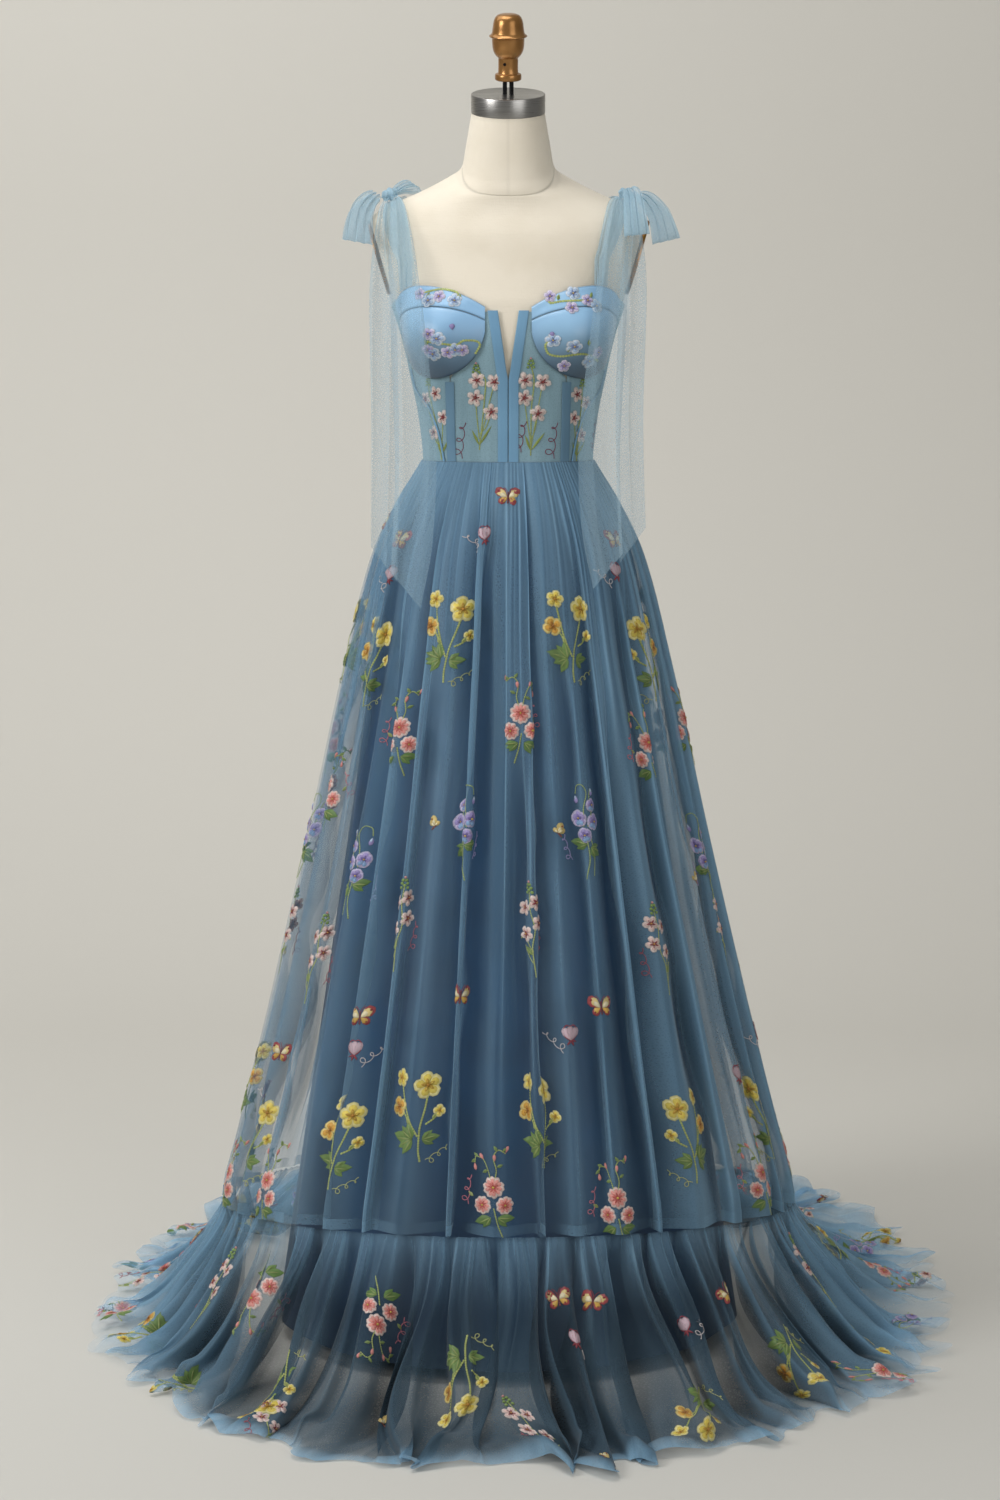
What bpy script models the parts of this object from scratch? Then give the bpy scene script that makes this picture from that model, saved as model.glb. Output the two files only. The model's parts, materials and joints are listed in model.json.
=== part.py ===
"""A sheer tulle ball gown worn by a limbless dress form, in metres, +Z up.

The origin is on the floor at the stand's centre, and the gown faces -Y. Left and right are the
wearer's, so left is +X. A place on the body is given as a height and a distance round the
body from the centre front, which is how a pattern piece is measured.
"""

import math
from collections import namedtuple

import bmesh
import bpy
import numpy as np
from mathutils import Matrix, Vector
from mathutils.bvhtree import BVHTree

# Driving dimensions.
WAIST = 1.1458
SEAM_GAP = 0.0003
EDGE_GAP = 0.0007
TULLE = 0.0012
SATIN = 0.0018
BONE_CASING = 0.0010
PIPING = 0.0011
BODICE_STANDS_OFF = 0.0035
CASING_STANDS_OFF = 0.0050
CUP_STANDS_OFF = 0.0057
SIDES = (("left", 1), ("right", -1))

# The dress form: one row for each ring of its padded body, from hip to neck. Armhole limits
# the half width where the armhole's flat is.
Section = namedtuple("Section", "height half_width front back tilt_deg armhole")
OPEN = 1.0
BODY = (
    Section(0.900, 0.144, 0.096, 0.108, 0, OPEN),
    Section(0.930, 0.157, 0.108, 0.120, 0, OPEN),
    Section(0.980, 0.160, 0.111, 0.123, 0, OPEN),
    Section(1.060, 0.139, 0.100, 0.107, 0, OPEN),
    Section(1.145, 0.1065, 0.085, 0.083, 0, OPEN),
    Section(1.200, 0.112, 0.092, 0.087, 0, OPEN),
    Section(1.250, 0.122, 0.104, 0.094, 0, OPEN),
    Section(1.300, 0.133, 0.115, 0.101, 0, OPEN),
    Section(1.345, 0.1475, 0.108, 0.106, 0, OPEN),
    Section(1.362, 0.1555, 0.102, 0.108, 0, 0.1503),
    Section(1.390, 0.1680, 0.092, 0.108, 0, 0.1585),
    Section(1.430, 0.1800, 0.078, 0.104, 0, 0.1701),
    Section(1.4480, 0.1830, 0.069, 0.095, 2, 0.1753),
    Section(1.4610, 0.1700, 0.063, 0.089, 5, OPEN),
    Section(1.4720, 0.1470, 0.060, 0.084, 9, OPEN),
    Section(1.4810, 0.1220, 0.058, 0.080, 12, OPEN),
    Section(1.4935, 0.0920, 0.057, 0.076, 16, OPEN),
    Section(1.506, 0.0665, 0.057, 0.066, 21, OPEN),
    Section(1.520, 0.0585, 0.054, 0.059, 20, OPEN),
    Section(1.545, 0.0540, 0.051, 0.053, 18, OPEN),
    Section(1.568, 0.0500, 0.049, 0.049, 16, OPEN),
    Section(1.5877, 0.0467, 0.0467, 0.0467, 14, OPEN),
)
BODY_SIDES = 36
BODY_ROUNDNESS = 2.3
OUTLINE_STEPS = 121
OUTLINE_REACH = 0.0020

# The form's neck cap, handle, armhole plates and stand.
Turned = namedtuple("Turned", "radius height")
NECK_TILT_DEG = 14
CAP_RADIUS = 0.0474
CAP_HEIGHT = 0.0235
ROUNDED_RIM = 0.0010
SHARP_EDGE_DEG = 35
MERGE_DISTANCE = 0.00001
POST_RADIUS = 0.0055
POST_HEIGHT = 0.0165
HANDLE = (
    Turned(0.0150, 0.0000),
    Turned(0.0169, 0.0015),
    Turned(0.0169, 0.0070),
    Turned(0.0126, 0.0105),
    Turned(0.0126, 0.0285),
    Turned(0.0160, 0.0312),
    Turned(0.0194, 0.0375),
    Turned(0.0206, 0.0465),
    Turned(0.0206, 0.0535),
    Turned(0.0242, 0.0545),
    Turned(0.0242, 0.0565),
    Turned(0.0205, 0.0600),
    Turned(0.0190, 0.0720),
    Turned(0.0165, 0.0790),
    Turned(0.0110, 0.0825),
    Turned(0.0000, 0.0835),
)
PLATE_HEIGHT = 0.0980
PLATE_WIDTH = 0.0700
PLATE_THICKNESS = 0.0050
PLATE_FACE_SHARE = 0.48
PLATE_CENTRE = 1.4050
ARMHOLE_FOOT = BODY[9]
ARMHOLE_SLOPE = 0.29
POLE_RADIUS = 0.0160
BASE = (
    Turned(0.1600, 0.0000),
    Turned(0.1600, 0.0080),
    Turned(0.1520, 0.0120),
    Turned(0.0400, 0.0160),
    Turned(0.0300, 0.0400),
    Turned(0.0000, 0.0400),
)

# Seams of the bodice: height, and distance round the body from the centre front.
Mark = namedtuple("Mark", "height distance")
CENTRE_EDGE = (
    Mark(WAIST, 0.0002),
    Mark(1.180, 0.0002),
    Mark(1.215, 0.0002),
    Mark(1.2465, 0.0002),
    Mark(1.262, 0.0024),
    Mark(1.285, 0.0056),
    Mark(1.310, 0.0092),
    Mark(1.336, 0.0130),
)
PRINCESS_EDGE = (
    Mark(WAIST, 0.0725),
    Mark(1.180, 0.0735),
    Mark(1.215, 0.0740),
    Mark(1.2465, 0.0745),
    Mark(1.262, 0.0657),
    Mark(1.285, 0.0435),
    Mark(1.310, 0.0355),
    Mark(1.334, 0.0335),
)
SIDE_FRONT_EDGE = (
    Mark(WAIST, 0.0835),
    Mark(1.178, 0.0910),
    Mark(1.213, 0.1080),
    Mark(1.240, 0.1420),
    Mark(1.262, 0.1500),
    Mark(1.300, 0.1540),
    Mark(1.350, 0.1580),
)
LOWER_ROWS = 5
SIDE_SEAM_HEIGHTS = (WAIST, 1.178, 1.213, 1.240, 1.262, 1.300, 1.340)
CENTRE_BACK_HEIGHTS = (WAIST, 1.178, 1.208, 1.232, 1.252, 1.280, 1.300)
SIDE_FRONT_TOP = Mark(1.262, 0.0765)
CASING_WIDTH = 0.0125
PIPING_WIDTH = 0.0030
PLACKET_WIDTH = 0.0220

# The cups, laid out on the body like the panels. The top edge falls to both ends.
CUP_CENTRE = Mark(1.318, 0.0945)
CUP_HALF_WIDTH = 0.0665
CUP_WIRE_DROP = 0.0672
CUP_SEAM_HEIGHT = 1.3235
CUP_SEAM_RISE = 0.0175
CUP_TOP = Mark(1.3675, 0.1120)
CUP_TOP_FALL = 0.0275
CUP_TOP_INNER = 0.0840
CUP_TOP_OUTER = 0.0550
CUP_BULGE = 0.0240
CUP_BULGE_HEIGHT = 1.305
CUP_BULGE_REACH = 0.0750
CUP_COLUMNS = 9
CUP_CORNER_SHARE = 0.99

# The skirt: one row for each ring of the tulle overlay from the waist (share 0) to the tier
# seam (share 1). A roundness of 2 is an ellipse, and the waist is squarer, like the body.
Ring = namedtuple("Ring", "share side front back roundness fold")
OVERLAY = (
    Ring(0.000, 0.1120, 0.0910, 0.0890, 2.3, 0.0010),
    Ring(0.050, 0.1400, 0.1210, 0.1240, 2.2, 0.0040),
    Ring(0.125, 0.1750, 0.1520, 0.1600, 2.1, 0.0080),
    Ring(0.270, 0.2120, 0.1900, 0.2080, 2.0, 0.0160),
    Ring(0.500, 0.2620, 0.2430, 0.2830, 2.0, 0.0260),
    Ring(0.770, 0.3250, 0.3050, 0.3750, 2.0, 0.0330),
    Ring(1.000, 0.3830, 0.3620, 0.4700, 2.0, 0.0300),
)
FOLDS = 24
FOLD_STEPS = 4
Wave = namedtuple("Wave", "times size start")
FOLD_DRIFT = (Wave(2, 0.045, 0.8), Wave(5, 0.025, 2.1))
FOLD_VARIETY = (Wave(3, 0.22, 0.6), Wave(7, 0.13, 2.0))
OVERLAY_GORES = 6
TIER_SEAM_SIDE = 0.1650
TIER_SEAM_FRONT_RISE = 0.0480

# The ruffle: spread is the share of the way out to the hem, rise the share of the tier
# seam's height, and lift how far the folds stand off the floor.
Flounce = namedtuple("Flounce", "spread rise fold lift")
RUFFLE = (
    Flounce(0.00, 1.000, 0.0300, 0.000),
    Flounce(0.20, 0.690, 0.0360, 0.000),
    Flounce(0.47, 0.330, 0.0340, 0.002),
    Flounce(0.76, 0.050, 0.0220, 0.014),
    Flounce(1.00, 0.000, 0.0300, 0.010),
)
HEM_LEFT = 0.6100
HEM_RIGHT = 0.5700
HEM_FRONT = 0.6000
HEM_BACK = 0.9200
FLOOR_CLEARANCE = 0.0008

# The opaque lining: one row for each ring, from the waist to its hem.
Gore = namedtuple("Gore", "height side front back roundness")
LINING = (
    Gore(WAIST - SEAM_GAP, 0.1092, 0.0882, 0.0862, 2.3),
    Gore(1.090, 0.1350, 0.1130, 0.1150, 2.2),
    Gore(0.970, 0.1690, 0.1420, 0.1530, 2.2),
    Gore(0.800, 0.1900, 0.1680, 0.1850, 2.0),
    Gore(0.500, 0.2350, 0.2150, 0.2500, 2.0),
    Gore(0.020, 0.3080, 0.2920, 0.3600, 2.0),
)
LINING_GORES = 4
LINING_STEPS = 8

# Straps: x of the middle, half width and turn over the shoulder, which is 0 to the front
# and 90 straight up. The right strap is tied further out than the left one.
Strap = namedtuple("Strap", "turn_deg middle half_width clearance")
FRONT_STRAP = (
    Strap(-14, 0.1170, 0.0085, 0.0060),
    Strap(8, 0.1260, 0.0115, 0.0050),
    Strap(30, 0.1340, 0.0150, 0.0038),
    Strap(55, 0.1410, 0.0160, 0.0034),
    Strap(89.7, 0.1470, 0.0120, 0.0032),
)
BACK_STRAP = (
    Strap(90.3, 0.1470, 0.0120, 0.0032),
    Strap(125, 0.1400, 0.0160, 0.0034),
    Strap(150, 0.1240, 0.0160, 0.0040),
    Strap(178, 0.1060, 0.0140, 0.0045),
    Strap(208, 0.0930, 0.0120, 0.0045),
)
STRAP_ROWS = 9
STRAP_SHIFT = 0.0065
SHOULDER_CORE = Vector((0.0, 0.010, 1.400))
CLEAR_OF_BODY = 0.3

# Bows: a knot on each shoulder, two loops and two long ends that hang free.
KNOT_HALF = Vector((0.0140, 0.0120, 0.0085))
ROOT_REACH = 0.0500
Loop = namedtuple("Loop", "name start bend end across root_width end_width puff")
LOOPS = (
    Loop("bow_loop_outer_right", (-0.1668, 0.0040, 1.4820), (-0.1920, -0.0280, 1.4890),
         (-0.1905, -0.0780, 1.4220), (-0.88, 0.0, 0.47), 0.011, 0.042, 0.010),
    Loop("bow_loop_back_right", (-0.1440, 0.0200, 1.4895), (-0.1340, 0.0420, 1.5040),
         (-0.1200, 0.0660, 1.4960), (-0.80, 0.30, 0.50), 0.010, 0.024, 0.007),
    Loop("bow_loop_outer_left", (0.1668, 0.0060, 1.4820), (0.1920, -0.0160, 1.4890),
         (0.2010, -0.0560, 1.4240), (0.90, 0.0, 0.44), 0.011, 0.038, 0.010),
    Loop("bow_loop_front_left", (0.1550, 0.0010, 1.4930), (0.1570, -0.0600, 1.5070),
         (0.1620, -0.1020, 1.4300), (0.98, 0.0, 0.20), 0.012, 0.034, 0.009),
)
LOOP_STEPS = 9
LOOP_COLUMNS = 2
LOOP_TURN = (0.06, 0.94)
LOOP_DEPTH = 1.5
Drop = namedtuple("Drop", "outer_x outer_z inner_x inner_z y")
FRONT_END = (
    Drop(0.1500, 1.4820, 0.1420, 1.4840, -0.0060),
    Drop(0.1490, 1.4740, 0.1340, 1.4760, -0.0370),
    Drop(0.1500, 1.4440, 0.1240, 1.4440, -0.0700),
    Drop(0.1500, 1.3900, 0.1140, 1.3900, -0.1050),
    Drop(0.1470, 1.3200, 0.1040, 1.3200, -0.1280),
    Drop(0.1400, 1.1460, 0.0880, 1.1460, -0.1340),
    Drop(0.1430, 1.0650, 0.0930, 1.0500, -0.1420),
    Drop(0.1460, 1.0100, 0.1090, 0.9650, -0.1520),
)
OUTER_END = (
    Drop(0.1590, 1.4780, 0.1520, 1.4800, -0.0060),
    Drop(0.1630, 1.4680, 0.1530, 1.4710, -0.0350),
    Drop(0.1680, 1.4400, 0.1540, 1.4400, -0.0560),
    Drop(0.1750, 1.3500, 0.1410, 1.3500, -0.0720),
    Drop(0.1730, 1.2000, 0.1380, 1.2000, -0.0820),
    Drop(0.1760, 1.0400, 0.1430, 0.9950, -0.1120),
)
END_COLUMNS = 4
END_RIPPLE = 0.0025
LEFT_END_LIFT = 0.0240

# Materials: linear colour, roughness, metallic.
Finish = namedtuple("Finish", "colour roughness metallic")
FINISHES = {
    "tulle": Finish((0.10, 0.22, 0.36), 0.75, 0.0),
    "lining_satin": Finish((0.07, 0.17, 0.29), 0.40, 0.0),
    "cup_satin": Finish((0.14, 0.29, 0.48), 0.32, 0.0),
    "linen": Finish((0.78, 0.71, 0.58), 0.85, 0.0),
    "chrome": Finish((0.60, 0.60, 0.60), 0.15, 1.0),
    "copper_lacquer": Finish((0.36, 0.15, 0.05), 0.28, 0.6),
    "bronze": Finish((0.22, 0.11, 0.03), 0.35, 1.0),
    "dark_steel": Finish((0.05, 0.05, 0.05), 0.35, 1.0),
    "cast_iron": Finish((0.03, 0.03, 0.03), 0.55, 0.0),
}


def clear_scene():
    for obj in list(bpy.data.objects):
        bpy.data.objects.remove(obj)


def material(name):
    """The named finish as a Principled material, made once."""
    found = bpy.data.materials.get(name)
    if found:
        return found
    finish = FINISHES[name]
    made = bpy.data.materials.new(name)
    made.use_nodes = True
    shader = made.node_tree.nodes["Principled BSDF"]
    shader.inputs["Base Color"].default_value = (*finish.colour, 1.0)
    shader.inputs["Roughness"].default_value = finish.roughness
    shader.inputs["Metallic"].default_value = finish.metallic
    return made


def object_from(name, bm, finish):
    """Turns a bmesh into a named object with a finish, and frees the bmesh."""
    mesh = bpy.data.meshes.new(name)
    bm.to_mesh(mesh)
    bm.free()
    mesh.materials.append(material(finish))
    mesh.shade_smooth()
    obj = bpy.data.objects.new(name, mesh)
    bpy.context.scene.collection.objects.link(obj)
    return obj


def cloth(name, grid, thickness, finish):
    """A wall of cloth through a grid of points, rows by columns, its middle on the grid."""
    bm = bmesh.new()
    verts = [[bm.verts.new(point) for point in row] for row in grid]
    for lower, upper in zip(verts, verts[1:]):
        for a, b, c, d in zip(lower, lower[1:], upper[1:], upper):
            bm.faces.new((a, b, c, d))
    obj = object_from(name, bm, finish)
    wall = obj.modifiers.new("wall", "SOLIDIFY")
    wall.thickness = thickness
    wall.offset = 0
    return obj


def turned(name, profile, finish, segments):
    """A solid turned about its own Z axis from radii and heights that end on the axis."""
    bm = bmesh.new()
    points = [Vector((0, 0, profile[0].height))]
    points += [Vector((p.radius, 0, p.height)) for p in profile]
    if profile[-1].radius > 0:
        points.append(Vector((0, 0, profile[-1].height)))
    chain = [bm.verts.new(p) for p in points]
    edges = [bm.edges.new(pair) for pair in zip(chain, chain[1:])]
    bmesh.ops.spin(bm, geom=chain + edges, cent=(0, 0, 0), axis=(0, 0, 1),
                   angle=math.tau, steps=segments)
    bmesh.ops.remove_doubles(bm, verts=bm.verts, dist=MERGE_DISTANCE)
    bmesh.ops.recalc_face_normals(bm, faces=bm.faces)
    obj = object_from(name, bm, finish)
    obj.data.set_sharp_from_angle(angle=math.radians(SHARP_EDGE_DEG))
    return obj


def between(low, high, share):
    return tuple(a + (b - a) * share for a, b in zip(low, high))


def section_at(height):
    """The body's section at a height, straight between the two rings around it."""
    for low, high in zip(BODY, BODY[1:]):
        if height <= high.height:
            share = (height - low.height) / (high.height - low.height)
            return Section(*between(low, high, share))
    return BODY[-1]


def oval_point(turn, side, front, back, roundness):
    """A point of an oval with these reaches; turn is -90 degrees at the front, 0 at +X."""
    power = 2 / roundness
    across, along = math.cos(turn), math.sin(turn)
    reach = front if along < 0 else back
    x = math.copysign(abs(across) ** power * side, across)
    y = math.copysign(abs(along) ** power * reach, along)
    return x, y


def outline_point(section, turn):
    """A point of a body section, which is flat at the armhole."""
    x, y = oval_point(turn, section.half_width, section.front, section.back, BODY_ROUNDNESS)
    return max(-section.armhole, min(section.armhole, x)), y


def half_outline(height):
    """The body's left outline at a height, front to back, and the distance to each point."""
    section = section_at(height)
    turns = np.linspace(-math.pi / 2, math.pi / 2, OUTLINE_STEPS)
    points = np.array([outline_point(section, turn) for turn in turns])
    steps = np.linalg.norm(np.diff(points, axis=0), axis=1)
    return points, np.concatenate([[0.0], np.cumsum(steps)])


def half_round(height):
    """The distance round the body from the centre front to the centre back."""
    return float(half_outline(height)[1][-1])


def on_body(height, distance, stands_off, side):
    """A point that stands off the body, at a height and a distance from the centre front."""
    points, along = half_outline(height)
    (x, y), ahead, behind = (
        [float(np.interp(d, along, points[:, k])) for k in (0, 1)]
        for d in (distance, distance + OUTLINE_REACH, distance - OUTLINE_REACH)
    )
    run = Vector((ahead[0] - behind[0], ahead[1] - behind[1])).normalized()
    return Vector((side * (x + run.y * stands_off), y - run.x * stands_off, height))


def body_panel(name, inner, outer, columns, stands_off, thickness, finish, side):
    """A wall on the body between two seams, which have one mark each for every row."""
    grid = []
    for near, far in zip(inner, outer):
        marks = [between(near, far, c / columns) for c in range(columns + 1)]
        grid.append([on_body(*mark, stands_off, side) for mark in marks])
    return cloth(name, grid, thickness, finish)


def shifted(edge, by):
    return [Mark(mark.height, mark.distance + by) for mark in edge]


def build_bodice_panels():
    """The sheer corset bodice: four panels a side, from the notch to the centre back."""
    gap = SEAM_GAP / 2
    side_seam = [Mark(h, half_round(h) / 2) for h in SIDE_SEAM_HEIGHTS]
    centre_back = [Mark(h, half_round(h) - gap) for h in CENTRE_BACK_HEIGHTS]
    side_front_inner = shifted(PRINCESS_EDGE[:LOWER_ROWS - 1], gap) + [SIDE_FRONT_TOP]
    side_front_outer = shifted(SIDE_FRONT_EDGE[:LOWER_ROWS], -gap)
    panels = (
        ("bodice_front_", CENTRE_EDGE, shifted(PRINCESS_EDGE, -gap), 4),
        ("bodice_side_front_", side_front_inner, side_front_outer, 4),
        ("bodice_side_", shifted(SIDE_FRONT_EDGE, gap), shifted(side_seam, -gap), 5),
        ("bodice_back_", shifted(side_seam, gap), centre_back, 7),
    )
    for label, side in SIDES:
        for name, inner, outer, columns in panels:
            body_panel(name + label, inner, outer, columns, BODICE_STANDS_OFF, TULLE,
                       "tulle", side)


def build_bodice_trims():
    """The boning casings beside the centre front and on the princess seams, and piping."""
    princess = shifted(PRINCESS_EDGE[:LOWER_ROWS - 1], -CASING_WIDTH / 2)
    piping = shifted(SIDE_FRONT_EDGE[:LOWER_ROWS], -PIPING_WIDTH / 2)
    trims = (
        ("casing_front_", shifted(CENTRE_EDGE, SEAM_GAP), CASING_WIDTH, BONE_CASING),
        ("casing_side_", princess, CASING_WIDTH, BONE_CASING),
        ("piping_", piping, PIPING_WIDTH, PIPING),
    )
    for label, side in SIDES:
        for name, inner, width, thickness in trims:
            body_panel(name + label, inner, shifted(inner, width), 1, CASING_STANDS_OFF,
                       thickness, "cup_satin", side)


def build_placket():
    """The strip that covers the hooks down the centre back."""
    grid = []
    for height in CENTRE_BACK_HEIGHTS:
        middle = half_round(height)
        edge = middle - PLACKET_WIDTH / 2
        grid.append([on_body(height, edge, CASING_STANDS_OFF, 1),
                     on_body(height, middle, CASING_STANDS_OFF, 1),
                     on_body(height, edge, CASING_STANDS_OFF, -1)])
    cloth("back_placket", grid, BONE_CASING, "cup_satin")


def cup_place(distance):
    """How far a point is from the cup's middle, from -1 at the inner end to 1."""
    return (distance - CUP_CENTRE.distance) / CUP_HALF_WIDTH


def wire_height(distance):
    drop = math.sqrt(max(0.0, 1 - cup_place(distance) ** 2))
    return CUP_CENTRE.height - CUP_WIRE_DROP * drop


def cup_seam_height(distance):
    return CUP_SEAM_HEIGHT + CUP_SEAM_RISE * (1 - cup_place(distance) ** 2)


def cup_top_height(distance):
    reach = CUP_TOP_INNER if distance < CUP_TOP.distance else CUP_TOP_OUTER
    return CUP_TOP.height - CUP_TOP_FALL * ((distance - CUP_TOP.distance) / reach) ** 2


def cup_stands_off(height, distance):
    """How far the cup stands off the body: it bulges round the middle."""
    away = math.hypot(height - CUP_BULGE_HEIGHT, distance - CUP_CENTRE.distance)
    share = math.cos(math.pi / 2 * min(1.0, away / CUP_BULGE_REACH)) ** 2
    return CUP_STANDS_OFF + CUP_BULGE * share


def cup_piece(name, low, high, rows, side):
    """One satin piece of a cup, between two heights that follow the distance round."""
    grid = []
    for r in range(rows + 1):
        line = []
        for c in range(CUP_COLUMNS + 1):
            place = -math.cos(math.pi * c / CUP_COLUMNS) * CUP_CORNER_SHARE
            distance = CUP_CENTRE.distance + CUP_HALF_WIDTH * place
            height = low(distance) + (high(distance) - low(distance)) * r / rows
            off = cup_stands_off(height, distance)
            line.append(on_body(height, distance, off, side))
        grid.append(line)
    return cloth(name, grid, SATIN, "cup_satin")


def build_cups():
    for label, side in SIDES:
        cup_piece("cup_lower_" + label, wire_height,
                  lambda d: cup_seam_height(d) - SEAM_GAP, 5, side)
        cup_piece("cup_upper_" + label, lambda d: cup_seam_height(d) + SEAM_GAP,
                  cup_top_height, 2, side)


def waves_at(waves, angle):
    return sum(wave.size * math.sin(wave.times * angle + wave.start) for wave in waves)


def fold_angle(phase):
    """Where a fold's phase lies round the skirt: the folds are unevenly spaced."""
    turn = phase / FOLDS
    return turn + waves_at(FOLD_DRIFT, turn)


def fold_size(angle):
    return 1 + waves_at(FOLD_VARIETY, angle)


def tier_seam_height(angle):
    """The tier seam is highest at the centre front and drops towards the train."""
    return TIER_SEAM_SIDE - TIER_SEAM_FRONT_RISE * math.sin(angle)


def overlay_point(ring, phase, shift):
    """A point of the tulle overlay, moved round by shift metres at a seam."""
    shape = (ring.side, ring.front, ring.back, ring.roundness)
    angle = fold_angle(phase)
    angle += shift / Vector(oval_point(angle, *shape)).length
    place = Vector((*oval_point(angle, *shape), 0))
    trough = ring.fold * fold_size(angle) * (1 - math.cos(phase)) / 2
    place -= place.normalized() * trough
    top = WAIST - SEAM_GAP
    place.z = top + (tier_seam_height(angle) - top) * ring.share
    return place


def ruffle_point(flounce, phase, shift):
    """A point of the ruffle, which falls from the tier seam and lies out on the floor."""
    start = overlay_point(OVERLAY[-1]._replace(fold=flounce.fold), phase, shift)
    angle = fold_angle(phase) + shift / start.length
    side = HEM_LEFT if math.cos(angle) > 0 else HEM_RIGHT
    hem = Vector((*oval_point(angle, side, HEM_FRONT, HEM_BACK, OVERLAY[-1].roundness), 0))
    place = start.lerp(hem, flounce.spread)
    place -= place.normalized() * flounce.spread * flounce.fold * (1 - math.cos(phase)) / 2
    height = (start.z - EDGE_GAP) * flounce.rise
    lift = flounce.lift * (1 + math.cos(phase)) / 2
    place.z = max(height, TULLE / 2 + FLOOR_CLEARANCE) + lift
    return place


def gore_phases(gore):
    """The phases of one gore's columns: its seams lie halfway down a fold."""
    steps = FOLDS * FOLD_STEPS // OVERLAY_GORES
    return [math.tau * (gore * steps + s + 1) / FOLD_STEPS for s in range(steps + 1)]


def seam_shift(column, columns):
    """Moves a gore's two edges off the seam, and nothing between them."""
    return {0: SEAM_GAP, columns - 1: -SEAM_GAP}.get(column, 0.0)


def build_skirt():
    """The gathered tulle overlay in gores, with a gathered ruffle below each."""
    tiers = (("skirt_gore_", OVERLAY, overlay_point), ("ruffle_", RUFFLE, ruffle_point))
    for gore in range(OVERLAY_GORES):
        phases = gore_phases(gore)
        for name, rows, point in tiers:
            grid = [[point(row, phase, seam_shift(c, len(phases)))
                     for c, phase in enumerate(phases)] for row in rows]
            cloth(f"{name}{gore + 1}", grid, TULLE, "tulle")


def build_lining():
    for gore in range(LINING_GORES):
        grid = []
        for ring in LINING:
            line = []
            for step in range(LINING_STEPS + 1):
                angle = math.tau * (gore + step / LINING_STEPS) / LINING_GORES
                angle += seam_shift(step, LINING_STEPS + 1) / ring.side
                line.append(Vector((*oval_point(angle, *ring[1:]), ring.height)))
            grid.append(line)
        cloth(f"lining_gore_{gore + 1}", grid, TULLE, "lining_satin")


def build_body():
    """The form's padded body as one closed loft from hip to neck."""
    bm = bmesh.new()
    rings = []
    for section in BODY:
        ring = []
        for k in range(BODY_SIDES):
            x, y = outline_point(section, math.tau * k / BODY_SIDES)
            z = section.height + y * math.tan(math.radians(section.tilt_deg))
            ring.append(bm.verts.new((x, y, z)))
        rings.append(ring)
    for low, high in zip(rings, rings[1:]):
        for k in range(BODY_SIDES):
            after = (k + 1) % BODY_SIDES
            bm.faces.new((low[k], low[after], high[after], high[k]))
    bm.faces.new(rings[0][::-1])
    bm.faces.new(rings[-1])
    return object_from("form_body", bm, "linen")


def build_neck_fittings():
    """The chrome cap on the neck, and the turned handle on its post."""
    post_base = SEAM_GAP + CAP_HEIGHT + SEAM_GAP
    handle_base = post_base + POST_HEIGHT + SEAM_GAP
    cap = (Turned(CAP_RADIUS, SEAM_GAP), Turned(CAP_RADIUS, CAP_HEIGHT - ROUNDED_RIM),
           Turned(CAP_RADIUS - ROUNDED_RIM, SEAM_GAP + CAP_HEIGHT))
    post = (Turned(POST_RADIUS, post_base), Turned(POST_RADIUS, post_base + POST_HEIGHT))
    handle = [Turned(p.radius, p.height + handle_base) for p in HANDLE]
    neck = Matrix.Translation((0, 0, BODY[-1].height))
    neck @= Matrix.Rotation(math.radians(NECK_TILT_DEG), 4, "X")
    turned("neck_cap", cap, "chrome", 36).matrix_world = neck
    turned("handle_post", post, "dark_steel", 16).matrix_world = neck
    turned("handle", handle, "copper_lacquer", 24).matrix_world = neck


def build_armhole_plates():
    """The oval plates that close the form's armholes, flat on its sides."""
    rim = PLATE_THICKNESS - ROUNDED_RIM
    profile = (Turned(0.5, 0.0), Turned(0.5, rim), Turned(PLATE_FACE_SHARE, PLATE_THICKNESS))
    reach = ARMHOLE_FOOT.armhole + ARMHOLE_SLOPE * (PLATE_CENTRE - ARMHOLE_FOOT.height)
    lean = math.pi / 2 + math.atan(ARMHOLE_SLOPE)
    for label, side in SIDES:
        plate = turned("armhole_plate_" + label, profile, "bronze", 24)
        plate.data.transform(Matrix.Diagonal((PLATE_HEIGHT, PLATE_WIDTH, 1, 1)))
        plate.data.transform(Matrix.Rotation(side * lean, 4, "Y"))
        plate.location = (side * (reach + 2 * SEAM_GAP), 0, PLATE_CENTRE)


def build_stand():
    turned("stand_base", BASE, "cast_iron", 32)
    pole = (Turned(POLE_RADIUS, BASE[-1].height + SEAM_GAP),
            Turned(POLE_RADIUS, BODY[0].height - SEAM_GAP))
    turned("stand_pole", pole, "chrome", 20)


def surface_of(obj):
    bm = bmesh.new()
    bm.from_mesh(obj.data)
    surface = BVHTree.FromBMesh(bm)
    bm.free()
    return surface


def over_shoulder(surface, x, turn_deg, clearance):
    """A point that clears the body, seen from a line through the shoulders, and its normal."""
    turn = math.radians(turn_deg)
    outwards = Vector((0, -math.cos(turn), math.sin(turn)))
    core = SHOULDER_CORE + Vector((x, 0, 0))
    hit, normal, _, _ = surface.ray_cast(core + outwards * CLEAR_OF_BODY, -outwards)
    return hit + normal * clearance, normal


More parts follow.
